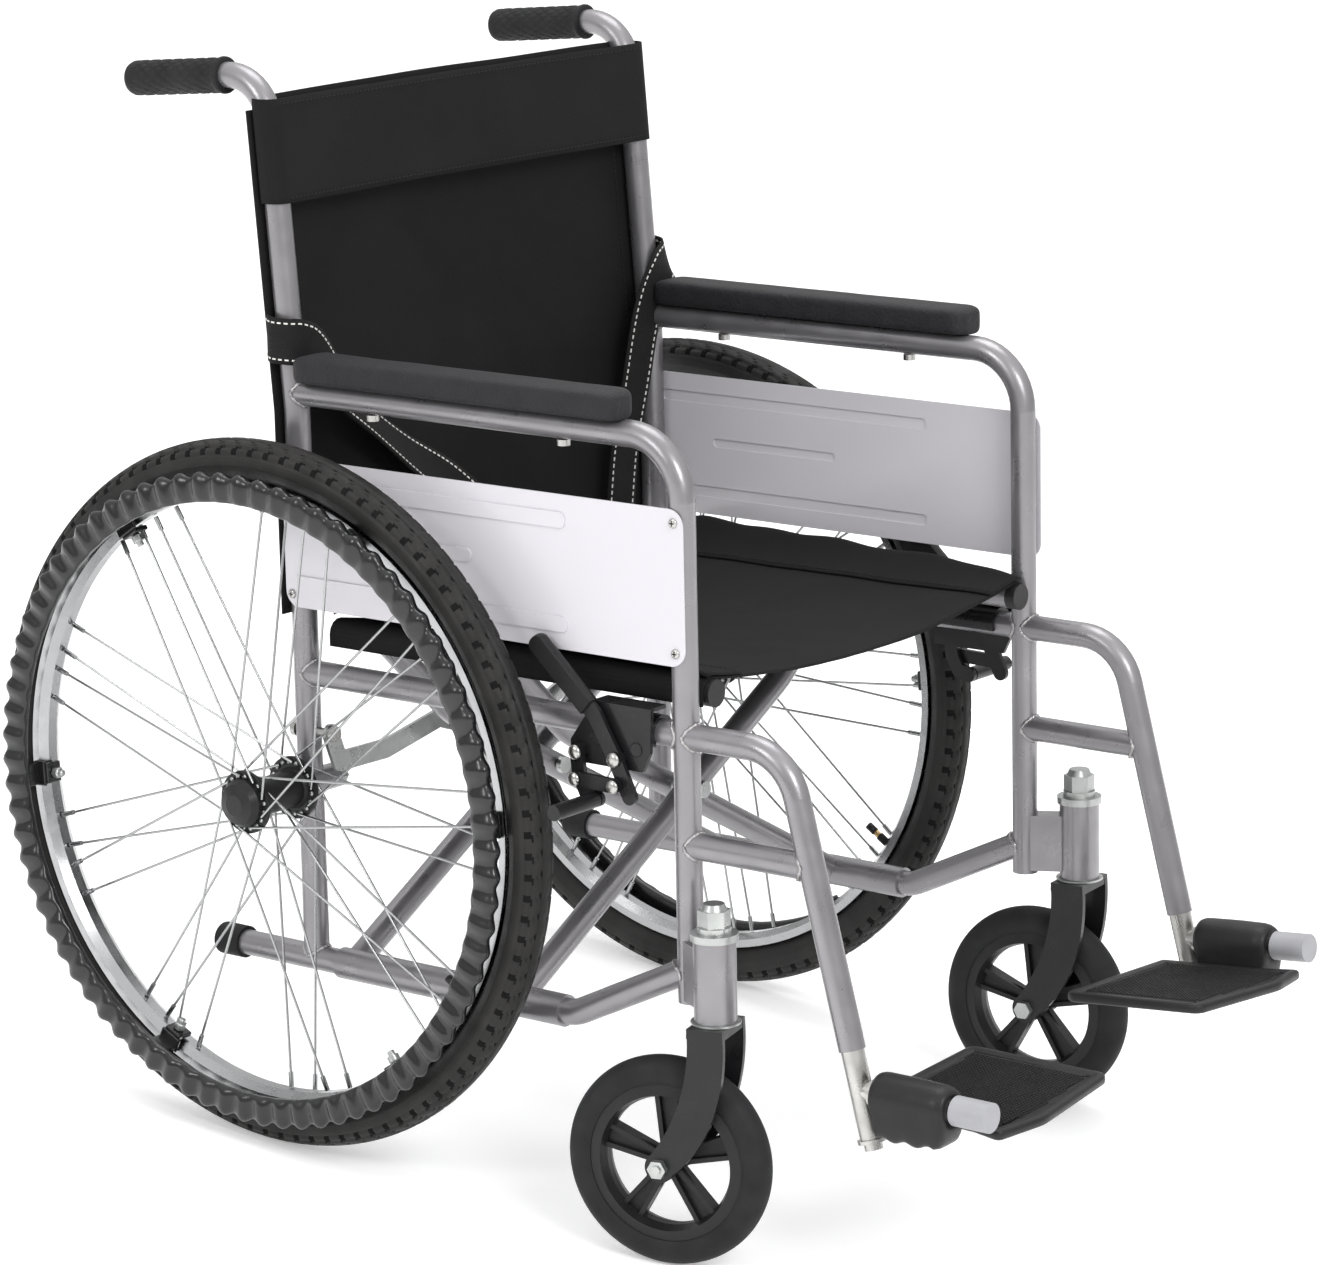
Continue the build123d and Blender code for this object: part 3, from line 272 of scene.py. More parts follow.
def tube_mesh(points, radius, sides=12, bumps=0.0, seed=0):
    """Points and faces of a round bead along a line of points, with capped ends."""
    verts, faces = [], []
    n = len(points)
    points = [Vector(p) for p in points]
    axis = Vector((0, 0, 1))
    for i, p in enumerate(points):
        ahead = points[min(i + 1, n - 1)] - points[max(i - 1, 0)]
        ahead.normalize()
        if abs(ahead.dot(axis)) > 0.9:
            axis = Vector((1, 0, 0)) if abs(ahead.x) < 0.9 else Vector((0, 1, 0))
        u = ahead.cross(axis).normalized()
        v = ahead.cross(u).normalized()
        axis = -v if i == 0 else axis
        swell = 1 + bumps * math.sin(i * 2.1 + seed)
        for k in range(sides):
            a = 2 * math.pi * k / sides
            verts.append(p + radius * swell * (math.cos(a) * u + math.sin(a) * v))
    faces += grid_faces(n, sides, close_cols=True)
    faces.append(tuple(range(sides))[::-1])
    faces.append(tuple((n - 1) * sides + k for k in range(sides)))
    return verts, faces


def merged(parts):
    """Several (points, faces) pairs as one."""
    verts, faces = [], []
    for v, f in parts:
        base = len(verts)
        verts += v
        faces += [tuple(i + base for i in face) for face in f]
    return verts, faces


def box_mesh(centre, u, v, w):
    """A block from its centre and three half-length vectors."""
    c = Vector(centre)
    corners = []
    for i in (-1, 1):
        for j in (-1, 1):
            for k in (-1, 1):
                corners.append(c + i * Vector(u) + j * Vector(v) + k * Vector(w))
    return corners, [(0, 1, 3, 2), (4, 6, 7, 5), (0, 4, 5, 1), (2, 3, 7, 6), (0, 2, 6, 4), (1, 5, 7, 3)]


def dome_mesh(centre, axis, radius, height, sides=20, rings=6):
    """A domed rivet head that stands on a face at its centre."""
    n = Vector(axis).normalized()
    u = n.orthogonal().normalized()
    v = n.cross(u)
    verts = []
    for i in range(rings + 1):
        a = math.pi / 2 * i / rings
        out, up = radius * math.cos(a), height * (0.25 + 0.75 * math.sin(a))
        if i == rings:
            out = radius * 0.03
        for k in range(sides):
            t = 2 * math.pi * k / sides
            verts.append(Vector(centre) + n * up + out * (math.cos(t) * u + math.sin(t) * v))
    for k in range(sides):
        t = 2 * math.pi * k / sides
        verts.append(Vector(centre) + radius * (math.cos(t) * u + math.sin(t) * v))
    faces = grid_faces(rings + 1, sides, close_cols=True)
    faces.append(tuple(rings * sides + k for k in range(sides)))
    base = (rings + 1) * sides
    faces += [(base + k, base + (k + 1) % sides, (k + 1) % sides, k) for k in range(sides)]
    faces.append(tuple(base + k for k in range(sides))[::-1])
    return verts, faces


def stitches(path, out, pitch, length, width, height):
    """Dashes of thread along a line of points; out is the way they stand off the cloth."""
    parts = []
    out = Vector(out).normalized()
    travelled = 0.0
    for a, b in zip(path, path[1:]):
        a, b = Vector(a), Vector(b)
        step = (b - a).length
        if step < 1e-6:
            continue
        along = (b - a) / step
        across = along.cross(out).normalized()
        s = (-travelled) % pitch
        while s < step:
            p = a + along * s
            parts.append(box_mesh(p, along * length / 2, across * width / 2, out * height / 2))
            s += pitch
        travelled += step
    return merged(parts)


def thicken(obj, thick):
    """Give a sheet its thickness, half to each side."""
    solid = obj.modifiers.new("thick", "SOLIDIFY")
    solid.thickness = thick * MM
    solid.offset = 0
    bpy.context.view_layer.objects.active = obj
    bpy.ops.object.modifier_apply(modifier="thick")


def cloth(name, rows, cols, point, mat, thick, close_cols=False):
    """A sheet of cloth from a function of two shares (0 to 1), made thick."""
    verts = []
    for i in range(rows):
        for j in range(cols):
            verts.append(point(i / (rows - 1), j / (cols if close_cols else cols - 1)))
    obj = add_mesh(name, verts, grid_faces(rows, cols, close_cols=close_cols), mat)
    thicken(obj, thick)
    for face in obj.data.polygons:
        face.use_smooth = True
    return obj


def ripple(x, y, size, seed=0.0):
    """A smooth uneven height, from -1 to 1, that changes over size millimetres."""
    return noise.noise(Vector((x / size, y / size, seed)))


# ---------------------------------------------------------------- rear wheels
TREAD_PITCHES = 104
STEPS = 6
R_MINOR = 18.0
RIM_ANGLE = math.radians(159)


def groove(share, row):
    """Depth, 0 to 1, of the tread at a share of the pitch in a row of blocks."""
    place = (share + (0.5 if row % 2 else 0.0)) % 1.0
    return 1.0 if place < 0.12 else 0.0


def tyre_point(side, angle_step, section):
    """A point of the tyre's tread or wall."""
    phi = -RIM_ANGLE + 2 * RIM_ANGLE * section
    turn = 2 * math.pi * angle_step / (TREAD_PITCHES * STEPS)
    degrees = abs(math.degrees(phi))
    depth = 0.0
    if degrees < 14:
        depth = 0.9 * groove((angle_step % STEPS) / STEPS + 0.2 * phi, 0)
    elif degrees < 19:
        depth = 1.3
    elif degrees < 44:
        depth = 2.1 * groove((angle_step % STEPS) / STEPS + 0.8 * phi, 1)
    elif degrees < 49:
        depth = 1.1
    elif degrees < 66:
        depth = 2.0 * groove((angle_step % STEPS) / STEPS, 0)
    elif degrees < 70:
        depth = 1.2
    elif 100 < degrees < 106:
        depth = -0.5
    minor = R_MINOR - depth
    r = R_WHEEL - R_MINOR + minor * math.cos(phi)
    x = side * WHEEL_CENTRE[0] + minor * math.sin(phi)
    return (x, WHEEL_CENTRE[1] + r * math.cos(turn), WHEEL_CENTRE[2] + r * math.sin(turn))


def paint_groove_shade(tyre, side):
    """Give the floor of the tread's grooves a darker rubber: painted shade, where shade falls in the grooves.
    """
    tyre.data.materials.append(MAT["groove"])
    centre = Vector((side * WHEEL_CENTRE[0], WHEEL_CENTRE[1], WHEEL_CENTRE[2])) * MM
    centre.y += Y_ORIGIN * MM
    for face in tyre.data.polygons:
        out = face.center - centre
        ring = math.hypot(out.y, out.z) - (R_WHEEL - R_MINOR) * MM
        minor = math.hypot(ring, out.x)
        # faces on the floor of a groove get the darker rubber: painted shade
        if minor < (R_MINOR - 0.75) * MM and ring > -0.004:
            face.material_index = 1


def wheel_ring(name, side, count, section_count, point, mat, closed=True):
    """A ring of points round a rear wheel."""
    verts = []
    for i in range(count):
        for j in range(section_count):
            share = j / section_count if closed else j / (section_count - 1)
            verts.append(point(side, i, share))
    faces = grid_faces(count, section_count, close_rows=True, close_cols=closed)
    return add_mesh(name, verts, faces, mat, STAND)


LOBES = 78
LOBE_STEPS = 8
R_HANDRIM = 269.0
X_HANDRIM = 329.0


def handrim_point(side, step, section):
    """A point of the scalloped hand rim."""
    a = 2 * math.pi * section
    turn = 2 * math.pi * step / (LOBES * LOBE_STEPS)
    wave = math.cos(LOBES * turn)
    lobe = 0.5 + 0.5 * wave
    out = max(0.0, math.cos(a))
    face = max(0.0, math.sin(a)) ** 0.7
    radial = 13.0 * math.copysign(abs(math.cos(a)) ** 0.75, math.cos(a)) - 4.4 * (1 - lobe) * out
    across = 7.0 * math.copysign(abs(math.sin(a)) ** 0.8, math.sin(a)) - 3.2 * (1 - lobe) * face
    r = R_HANDRIM + radial
    x = X_HANDRIM + across
    return (side * x, WHEEL_CENTRE[1] + r * math.cos(turn), WHEEL_CENTRE[2] + r * math.sin(turn))


TAB_ANGLES = [math.radians(-8 + 60 * k) for k in range(6)]
# distance out, radius, and half sizes outwards, along the radius and round the wheel
TAB_BLOCKS = ((315.5, 263.5, 7.5, 2.6, 10), (308.8, 260.5, 1.6, 6.5, 11), (301, 253.2, 8, 2.2, 9))
X_TAB_BOLT = 301.0
# radii along the bolt, its size and its sides: the shank and the nut
TAB_BOLTS = (((240.5, 241.5, 244, 256), 3.0, 10), ((244.5, 245, 249.5, 250), 5.2, 6))
VALVE_ANGLE = math.radians(209)
VALVE_PARTS = (("valve", (259, 246, 245, 240), 2.9, "brass"), ("valve_base", (259, 247), 3.8, "rubber"),
               ("valve_cap", (241, 232), 3.6, "plastic"))
SPOKES_PER_FLANGE = 18
X_FLANGE = 29.5
R_SPOKE_HOLES = 22.5
SPOKE_HEAD_RUN = (1.4, 2.4, 2.9)


def on_wheel(side, x, r, angle):
    """A point on a rear wheel from its distance out, its radius and its angle."""
    return Vector((side * x, WHEEL_CENTRE[1] + r * math.cos(angle), WHEEL_CENTRE[2] + r * math.sin(angle)))


for side, name in SIDES:
    tyre = wheel_ring(f"tread_{name}", side, TREAD_PITCHES * STEPS, 61, tyre_point, MAT["tyre"], closed=False)
    # painted shade: the groove floors get the darker rubber
    paint_groove_shade(tyre, side)
    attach(tyre, f"wheel_{name}")
    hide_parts(f"tyre_{name}")
    bead = wheel_ring(f"hand_rim_{name}", side, LOBES * LOBE_STEPS, 28, handrim_point, MAT["gloss"])
    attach(bead, f"wheel_{name}")
    tabs = []
    bolts = []
    for angle in TAB_ANGLES:
        radial = Vector((0, math.cos(angle), math.sin(angle)))
        tangent = Vector((0, -math.sin(angle), math.cos(angle)))
        outward = Vector((side, 0, 0))
        for x, r, out, deep, wide in TAB_BLOCKS:
            place = on_wheel(side, x, r, angle)
            tabs.append(box_mesh(place, outward * out, radial * deep, tangent * wide))
        for radii, size, sides in TAB_BOLTS:
            bolts.append(tube_mesh([on_wheel(side, X_TAB_BOLT, r, angle) for r in radii], size, sides))
    piece = add_mesh(f"rim_tabs_{name}", *merged(tabs), MAT["gloss"], STAND, smooth=False)
    soften = piece.modifiers.new("round", "BEVEL")
    soften.width = 0.0012
    soften.segments = 2
    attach(piece, f"wheel_{name}")
    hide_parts(f"handrim_{name}")
    piece = add_mesh(f"rim_tab_bolts_{name}", *merged(bolts), MAT["zinc"], STAND)
    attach(piece, f"wheel_{name}")
    for part, radii, size, look in VALVE_PARTS:
        run = [on_wheel(side, WHEEL_CENTRE[0], r, VALVE_ANGLE) for r in radii]
        piece = add_mesh(f"{part}_{name}", *tube_mesh(run, size, 14), MAT[look], STAND)
        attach(piece, f"wheel_{name}")
    heads = []
    for flange in (-1, 1):
        x = WHEEL_CENTRE[0] + flange * X_FLANGE
        start = 0 if flange < 0 else math.pi / SPOKES_PER_FLANGE
        for k in range(SPOKES_PER_FLANGE):
            angle = 2 * math.pi * k / SPOKES_PER_FLANGE + start
            for beyond in (-1, 1):
                run = [on_wheel(side, x + beyond * d, R_SPOKE_HOLES, angle) for d in SPOKE_HEAD_RUN]
                heads.append(tube_mesh(run, 1.9, 8))
    piece = add_mesh(f"spoke_heads_{name}", *merged(heads), MAT["zinc"], STAND)
    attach(piece, f"wheel_{name}")


# ---------------------------------------------------------------- weld beads
def saddle(centre, through, butting, radius, bead=1.5, seed=0):
    """The bead where a tube runs into another of the same size. Butting points away from the joint."""
    centre, b = Vector(centre), Vector(butting).normalized()
    t = Vector(through).normalized()
    t = (t - b * t.dot(b)).normalized()
    s = b.cross(t)
    points = []
    for k in range(49):
        a = 2 * math.pi * k / 48
        x = radius * math.sin(a)
        along = math.sqrt(max(0.0, (radius + 0.6) ** 2 - x * x))
        points.append(centre + s * x * 1.02 + t * radius * 1.02 * math.cos(a) + b * along)
    return tube_mesh(points, bead, 8, 0.3, seed)


UP = (0, 0, 1)
FORWARD = (0, -1, 0)
REARWARD = (0, 1, 0)
for side, name in SIDES:
    x = side * X_FRAME
    hang_y = Y_HANGER - HANGER_SLOPE * (Z_SIDE - Z_BRACE)
    low_z = Z_LOW + (Y_LOW_BEND - Y_FRONT) * math.tan(LOW_RISE)
    low_dir = (0, math.cos(LOW_RISE), -math.sin(LOW_RISE))
    beads = [
        saddle((x, Y_BACK, Z_ARM), UP, FORWARD, R_TUBE, seed=1),
        saddle((x, Y_BACK, Z_SIDE), UP, FORWARD, R_TUBE, seed=2),
        saddle((x, Y_FRONT, Z_SIDE), UP, REARWARD, R_TUBE, seed=3),
        saddle((x, Y_FRONT, Z_SIDE), UP, FORWARD, R_TUBE, seed=4),
        saddle((x, Y_FRONT, Z_BRACE), UP, FORWARD, R_TUBE, seed=5),
        saddle((x, hang_y, Z_BRACE), (0, HANGER_SLOPE, 1), REARWARD, R_TUBE, seed=6),
        saddle((x, Y_FRONT, low_z), UP, low_dir, R_TUBE, seed=7),
        saddle((x, Y_BACK, Z_LOW), REARWARD, UP, R_TUBE, seed=8),
    ]
    piece = add_mesh(f"weld_beads_{name}", *merged(beads), MAT["weld"])
    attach(piece, f"{name}_side")

# ---------------------------------------------------------------- brake rivets, and black crosses of painted shade for the screw recesses
LEVER_PIVOT = (-175.0, 393.0)
ARM_PIVOT = (-135.0, 394.0)
CRANK = (-2.5, -21.0)
PANEL_SCREWS = ((-231.0, 591.0), (-231.0, 485.0), (181.0, 591.0), (181.0, 485.0))
X_SCREW_HEAD = 253.1
# half depth, length and width of each black cross: painted shade standing in for a screw head's cross recess
RECESS_SHADE_HALF = (0.35, 2.2, 0.5)
for side, name in SIDES:
    out = (side, 0, 0)
    crank_pins = [(y + CRANK[0], z + CRANK[1]) for y, z in (LEVER_PIVOT, ARM_PIVOT)]
    rivets = {
        f"{name}_side": [((side * 263.8, y, z), 6.3, 4.0) for y, z in (LEVER_PIVOT, ARM_PIVOT)],
        f"brake_lever_{name}": [((side * 268.8, *crank_pins[0]), 5.8, 3.7)],
        f"brake_arm_{name}": [((side * 268.8, *crank_pins[1]), 5.8, 3.7)],
    }
    for body, places in rivets.items():
        heads = [dome_mesh(place, out, radius, height) for place, radius, height in places]
        piece = add_mesh(f"rivets_{body}", *merged(heads), MAT["steel"])
        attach(piece, body)
    recess_shade = []
    for y, z in PANEL_SCREWS:
        centre = (side * X_SCREW_HEAD, y, z)
        deep, long, wide = RECESS_SHADE_HALF
        for along, across in (((0, 1, 0), (0, 0, 1)), ((0, 0, 1), (0, 1, 0))):
            halves = (Vector((deep, 0, 0)), Vector(along) * long, Vector(across) * wide)
            recess_shade.append(box_mesh(centre, *halves))
    # flat black crosses on the screw heads: painted shade for their cross recesses
    piece = add_mesh(f"screw_recess_shade_{name}", *merged(recess_shade), MAT["black_paint"], smooth=False)
    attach(piece, f"{name}_side")

# ---------------------------------------------------------------- footplates
Z_HINGE = 150.0
Y_HINGE = Y_HANGER - HANGER_SLOPE * (Z_SIDE - Z_HINGE) - 4.0
BAR_RISE = {-1: 0.0, 1: math.radians(5.0)}
LEFT_RAISE = 11.0
PLATE_ROLL = math.radians(2.7)
PLATE_TOP = Z_HINGE - 16.0
# X, Y and radius of each corner
PLATE_CORNERS = ((-219, -387, 6), (-69, -386, 12), (-69, -521, 12),
                 (-177, -533, 40), (-227, -522, 8), (-219, -489, 6))
# height over the tread and distance in from the outline, from the underside up over the raised border
PLATE_LAYERS = ((-8.2, 8.0), (-8.2, 4.5), (-8.0, 2.0), (-6.6, 0.4), (-4.0, 0.0), (-1.6, 0.2),
                (-0.2, 1.4), (0.4, 3.4), (0.3, 7.0), (-0.3, 9.4), (-0.9, 11.0), (-0.9, 12.5))
KNOB_FIELD_INSET = 14.0
KNOB_PITCH = 3.4
# height and half width of a knob's foot and of its top
KNOB_LEVELS = ((-1.3, 1.3), (0.2, 0.7))
KNOB_FACES = [(3, 2, 1, 0), (4, 5, 6, 7), (0, 1, 5, 4), (1, 2, 6, 5), (2, 3, 7, 6), (3, 0, 4, 7)]
# Y, radius, and how square the lower half is
SLEEVE_STATIONS = ((-417.5, 16.0, 0.0), (-418.4, 17.8, 0.0), (-421, 18.6, 0.4), (-424, 18.9, 1.0),
                   (-440, 19.0, 1.0), (-455, 19.0, 1.0), (-470, 18.6, 1.0), (-478, 18.3, 1.0),
                   (-482, 17.6, 0.9), (-485, 16.2, 0.75), (-487, 14.8, 0.5), (-487.6, 13.2, 0.3))
SLEEVE_SIDES = 48
R_SLEEVE_BORE = 8.3


def rounded_outline(corners, steps=7):
    """Points round a closed outline with a radius at each corner."""
    out = []
    n = len(corners)
    for i, (x, y, radius) in enumerate(corners):
        p = Vector((x, y))
        before_p, after_p = Vector(corners[i - 1][:2]), Vector(corners[(i + 1) % n][:2])
        a, b = (before_p - p).normalized(), (after_p - p).normalized()
        half = a.angle(b) / 2
        run = min(radius / math.tan(half), (before_p - p).length * 0.45, (after_p - p).length * 0.45)
        start, end = p + a * run, p + b * run
        for k in range(steps + 1):
            t = k / steps
            out.append(start * (1 - t) ** 2 + p * 2 * t * (1 - t) + end * t ** 2)
    return out


def inset(outline, distance):
    """An outline moved inwards."""
    out = []
    n = len(outline)
    for i, p in enumerate(outline):
        ahead = (outline[(i + 1) % n] - outline[i - 1]).normalized()
        out.append(p + Vector((ahead.y, -ahead.x)) * distance)
    return out


def inside(outline, x, y):
    """Whether a point is inside an outline."""
    odd = False
    for a, b in zip(outline, outline[1:] + outline[:1]):
        if (a.y > y) != (b.y > y) and x < a.x + (b.x - a.x) * (y - a.y) / (b.y - a.y):
            odd = not odd
    return odd


def foot_matrix(side):
    """Places a footplate: rolled up inwards, raised at the front about its bar, and higher on the left."""
    up = 0.0 if side < 0 else LEFT_RAISE
    shift = Matrix.Translation((0, Y_HINGE + HANGER_SLOPE * up, Z_HINGE + up))
    flip = Matrix.Diagonal((1 if side < 0 else -1, 1, 1, 1))
    to_middle = Matrix.Translation((X_FRAME, 0, 0))
    back_again = Matrix.Translation((-X_FRAME, 0, 0))
    roll = back_again @ Matrix.Rotation(-PLATE_ROLL, 4, "Y") @ to_middle
    rise = Matrix.Rotation(-BAR_RISE[side], 4, "X")
    return LEAN @ flip @ shift @ rise @ roll @ Matrix.Translation((0, -Y_HINGE, -Z_HINGE))


def plate_parts():
    """The tread board and its knobs, for the right-hand side."""
    outline = rounded_outline(PLATE_CORNERS)
    n = len(outline)
    verts = []
    for height, inward in PLATE_LAYERS:
        verts += [Vector((p.x, p.y, PLATE_TOP + height)) for p in inset(outline, inward)]
    board = (verts, grid_faces(len(PLATE_LAYERS), n, close_cols=True))
    board[1].append(tuple(range(n))[::-1])
    board[1].append(tuple((len(PLATE_LAYERS) - 1) * n + k for k in range(n)))
    field = inset(outline, KNOB_FIELD_INSET)
    knobs = []
    for i in range(int(200 / KNOB_PITCH)):
        for j in range(int(190 / KNOB_PITCH)):
            x = -232 + i * KNOB_PITCH
            y = -560 + j * KNOB_PITCH
            if not inside(field, x, y):
                continue
            knob = [Vector((x + u * w, y + v * w, PLATE_TOP + height)) for height, w in KNOB_LEVELS
                    for u, v in ((-1, -1), (1, -1), (1, 1), (-1, 1))]
            knobs.append((knob, KNOB_FACES))
    return board, merged(knobs)


def sleeve_mesh():
    """The sleeve: round over the bar, straight down outside to a wavy edge, and a neck at the front."""
    dense = []
    for start, end in zip(SLEEVE_STATIONS, SLEEVE_STATIONS[1:]):
        steps = max(1, int(abs(end[0] - start[0]) / 2.5))
        for k in range(steps):
            dense.append(tuple(a + (b - a) * k / steps for a, b in zip(start, end)))
    dense.append(SLEEVE_STATIONS[-1])
    around = SLEEVE_SIDES
    verts = []
    for y, r, square in dense:
        wave = 1.5 * math.sin((y + 424) / 3.4) * square
        low = r + square * (12.5 + wave)
        for k in range(around):
            a = 2 * math.pi * k / around
            x, z = r * math.cos(a), r * math.sin(a)
            if z < 0:
                power = 1.0 - 0.72 * square
                x = r * math.copysign(abs(math.cos(a)) ** power, math.cos(a))
                z = -low * abs(math.sin(a)) ** power
            verts.append(Vector((-X_FRAME + x, y, Z_HINGE + z)))
    faces = grid_faces(len(dense), around, close_cols=True)
    inner = []
    for y in (dense[0][0], dense[-1][0]):
        for k in range(around):
            a = 2 * math.pi * k / around
            x = -X_FRAME + R_SLEEVE_BORE * math.cos(a)
            inner.append(Vector((x, y, Z_HINGE + R_SLEEVE_BORE * math.sin(a))))
    base = len(verts)
    verts += inner
    last = (len(dense) - 1) * around
    for k in range(around):
        n = (k + 1) % around
        faces.append((base + k, base + n, n, k))
        faces.append((last + k, last + n, base + around + n, base + around + k))
        faces.append((base + n, base + k, base + around + k, base + around + n))
    return verts, faces


for side, name in SIDES:
    board, knobs = plate_parts()
    placed = foot_matrix(side)
    plate = add_mesh(f"foot_board_{name}", *board, MAT["plastic"], placed)
    shade_by_angle(plate, 50)
    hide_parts(f"footplate_{name}")
    for piece in (plate, add_mesh(f"foot_knobs_{name}", *knobs, MAT["plastic"], placed, smooth=False),
                  add_mesh(f"foot_sleeve_{name}", *sleeve_mesh(), MAT["plastic"], placed)):
        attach(piece, f"footplate_{name}")
        if side > 0:
            piece.data.flip_normals()

# ---------------------------------------------------------------- hand grips
HANDLE_CORNER = Vector((0, post_y(922.0), 922.0))
HANDLE_DIR = Vector((0, math.cos(LEAN_BACK), -math.sin(LEAN_BACK)))
HANDLE_UP = Vector((0, math.sin(LEAN_BACK), math.cos(LEAN_BACK)))
GRIP_PROFILE = ((44, 11.1), (44, 14.6), (45, 15.6), (47, 15.8), (49, 15.2), (51, 14.6))
GRIP_END = ((142, 14.6), (145, 14.9), (148, 14.8), (151, 13.6), (153, 11), (153.8, 7), (154, 0.5))
PATTERN_SPAN = (52, 141)
PATTERN_PITCH = 6.5
PATTERN_STARTS = 12
RIBS = 60
ROUND = 96
for side, name in SIDES:
    profile = list(GRIP_PROFILE)
    profile += [(51 + (142 - 51) * k / RIBS, 14.4) for k in range(1, RIBS)]
    profile += list(GRIP_END)
    verts = []
    for d, r in profile:
        for k in range(ROUND):
            a = 2 * math.pi * k / ROUND
            radius = r
            if PATTERN_SPAN[0] < d < PATTERN_SPAN[1]:
                p = d / PATTERN_PITCH + PATTERN_STARTS * a / math.pi
                q = d / PATTERN_PITCH - PATTERN_STARTS * a / math.pi
                groove_edge = min(abs(math.sin(math.pi * p * 0.5)), abs(math.sin(math.pi * q * 0.5)))
                radius = r + 1.1 * min(1.0, 1.6 * groove_edge) - 0.4
            c = Vector((side * X_FRAME, HANDLE_CORNER.y, HANDLE_CORNER.z)) + HANDLE_DIR * d
            verts.append(c + radius * (math.cos(a) * Vector((1, 0, 0)) + math.sin(a) * HANDLE_UP))
    faces = grid_faces(len(profile), ROUND, close_cols=True)
    grip = add_mesh(f"hand_grip_{name}", verts, faces, MAT["rubber"])
    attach(grip, f"{name}_side")
    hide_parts(f"grip_{name}")

# ---------------------------------------------------------------- arm pads
PAD_Y = (-175.0, 168.0)
PAD_X = 242.0
PAD_HALF = 20.5
PAD_Z = (667.4, 690.6)
PAD_END = 17.0


def pad_point(side, u, v):
    """A point of a pad: u runs along it, v round its section."""
    middle = (PAD_Y[0] + PAD_Y[1]) / 2
    half = (PAD_Y[1] - PAD_Y[0]) / 2
    y = middle + half * (2 * u - 1)
    end = min(1.0, (half - abs(y - middle)) / PAD_END)
    taper = math.sqrt(max(0.0, 1 - (1 - end) ** 2.4))
    a = 2 * math.pi * v
    power = 0.42
    cx = math.copysign(abs(math.cos(a)) ** power, math.cos(a))
    cz = math.copysign(abs(math.sin(a)) ** power, math.sin(a))
    half_z = (PAD_Z[1] - PAD_Z[0]) / 2
    lift = (0.72 + 0.28 * taper) * (0.6 + 0.4 * taper) if cz > 0 else 1.0
    width = 0.35 + 0.65 * taper if end < 1 else 1.0
    x = side * PAD_X + PAD_HALF * width * cx * (1 if end > 0 else 0.4)
    z = (PAD_Z[0] + PAD_Z[1]) / 2 + half_z * cz * lift
    if cz > 0.2:
        z += 0.5 * ripple(y, cx * 10, 60, side)
    return (x, y, z)


for side, name in SIDES:
    rows, cols = 90, 56
    shares = []
    for i in range(rows):
        crowded = math.tanh(3 * (2 * i / (rows - 1) - 1)) / math.tanh(3)
        shares.append(0.5 - 0.5 * math.cos(math.pi * (0.5 + 0.5 * crowded)))
    verts = [pad_point(side, u, j / cols) for u in shares for j in range(cols)]
    faces = grid_faces(rows, cols, close_cols=True)
    faces.append(tuple(range(cols))[::-1])
    faces.append(tuple((rows - 1) * cols + k for k in range(cols)))
    pad = add_mesh(f"pad_{name}", verts, faces, MAT["vinyl"])
    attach(pad, f"{name}_side")
    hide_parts(f"arm_pad_{name}")

# ---------------------------------------------------------------- seat sling
SEAT_Y = (-238.0, 162.0)
R_SEAT_WRAP = R_TUBE + 1.2
SEAT_TOP = Z_RAIL + R_TUBE + 1.2
SEAT_HALF = X_RAIL + R_TUBE + 0.6
SEAT_SAG = 22.0
HEM_WIDTH = 40.0
SEAT_SEAMS = (4.0, 36.0)
# pitch, length, width and height of the dark stitches
SEAT_STITCH = (5.0, 3.2, 0.9, 0.5)
BACK_STITCH = (5.0, 3.2, 0.9, 0.6)


def seat_height(x, y):
    """Height of the sling: over the rails at the sides, hanging between them."""
    share = min(1.0, abs(x) / X_RAIL)
    sag = SEAT_SAG + 3.0 * (y / 200.0)
    z = SEAT_TOP - sag * (1 - share ** 2)
    z += 1.6 * ripple(x, y, 85, 3.1) * (1 - share ** 4) + 0.5 * ripple(x, y, 30, 7.7)
    if abs(x) > X_RAIL:
        over = abs(x) - X_RAIL
        z = Z_RAIL + math.sqrt(max(0.0, R_SEAT_WRAP ** 2 - min(over, R_SEAT_WRAP - 0.01) ** 2))
    return z


def seat_point(u, v):
    """u runs across the seat and down over the rail at each end, v from front to back."""
    y = SEAT_Y[0] + (SEAT_Y[1] - SEAT_Y[0]) * v
    reach = SEAT_HALF + 17
    x = -reach + 2 * reach * u
    side = math.copysign(1, x)
    wrap = abs(x) - X_RAIL
    if wrap <= 0:
        return (x, y, seat_height(x, y))
    r = R_SEAT_WRAP
    angle = min(wrap / r, math.pi / 2)
    down = max(0.0, wrap - r * math.pi / 2)
    return (side * (X_RAIL + r * math.sin(angle)), y, Z_RAIL + r * math.cos(angle) - down)


seat = cloth("seat_cloth", 97, 81, seat_point, MAT["fabric"], 2.0)
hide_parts("seat_sling")
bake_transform(seat)

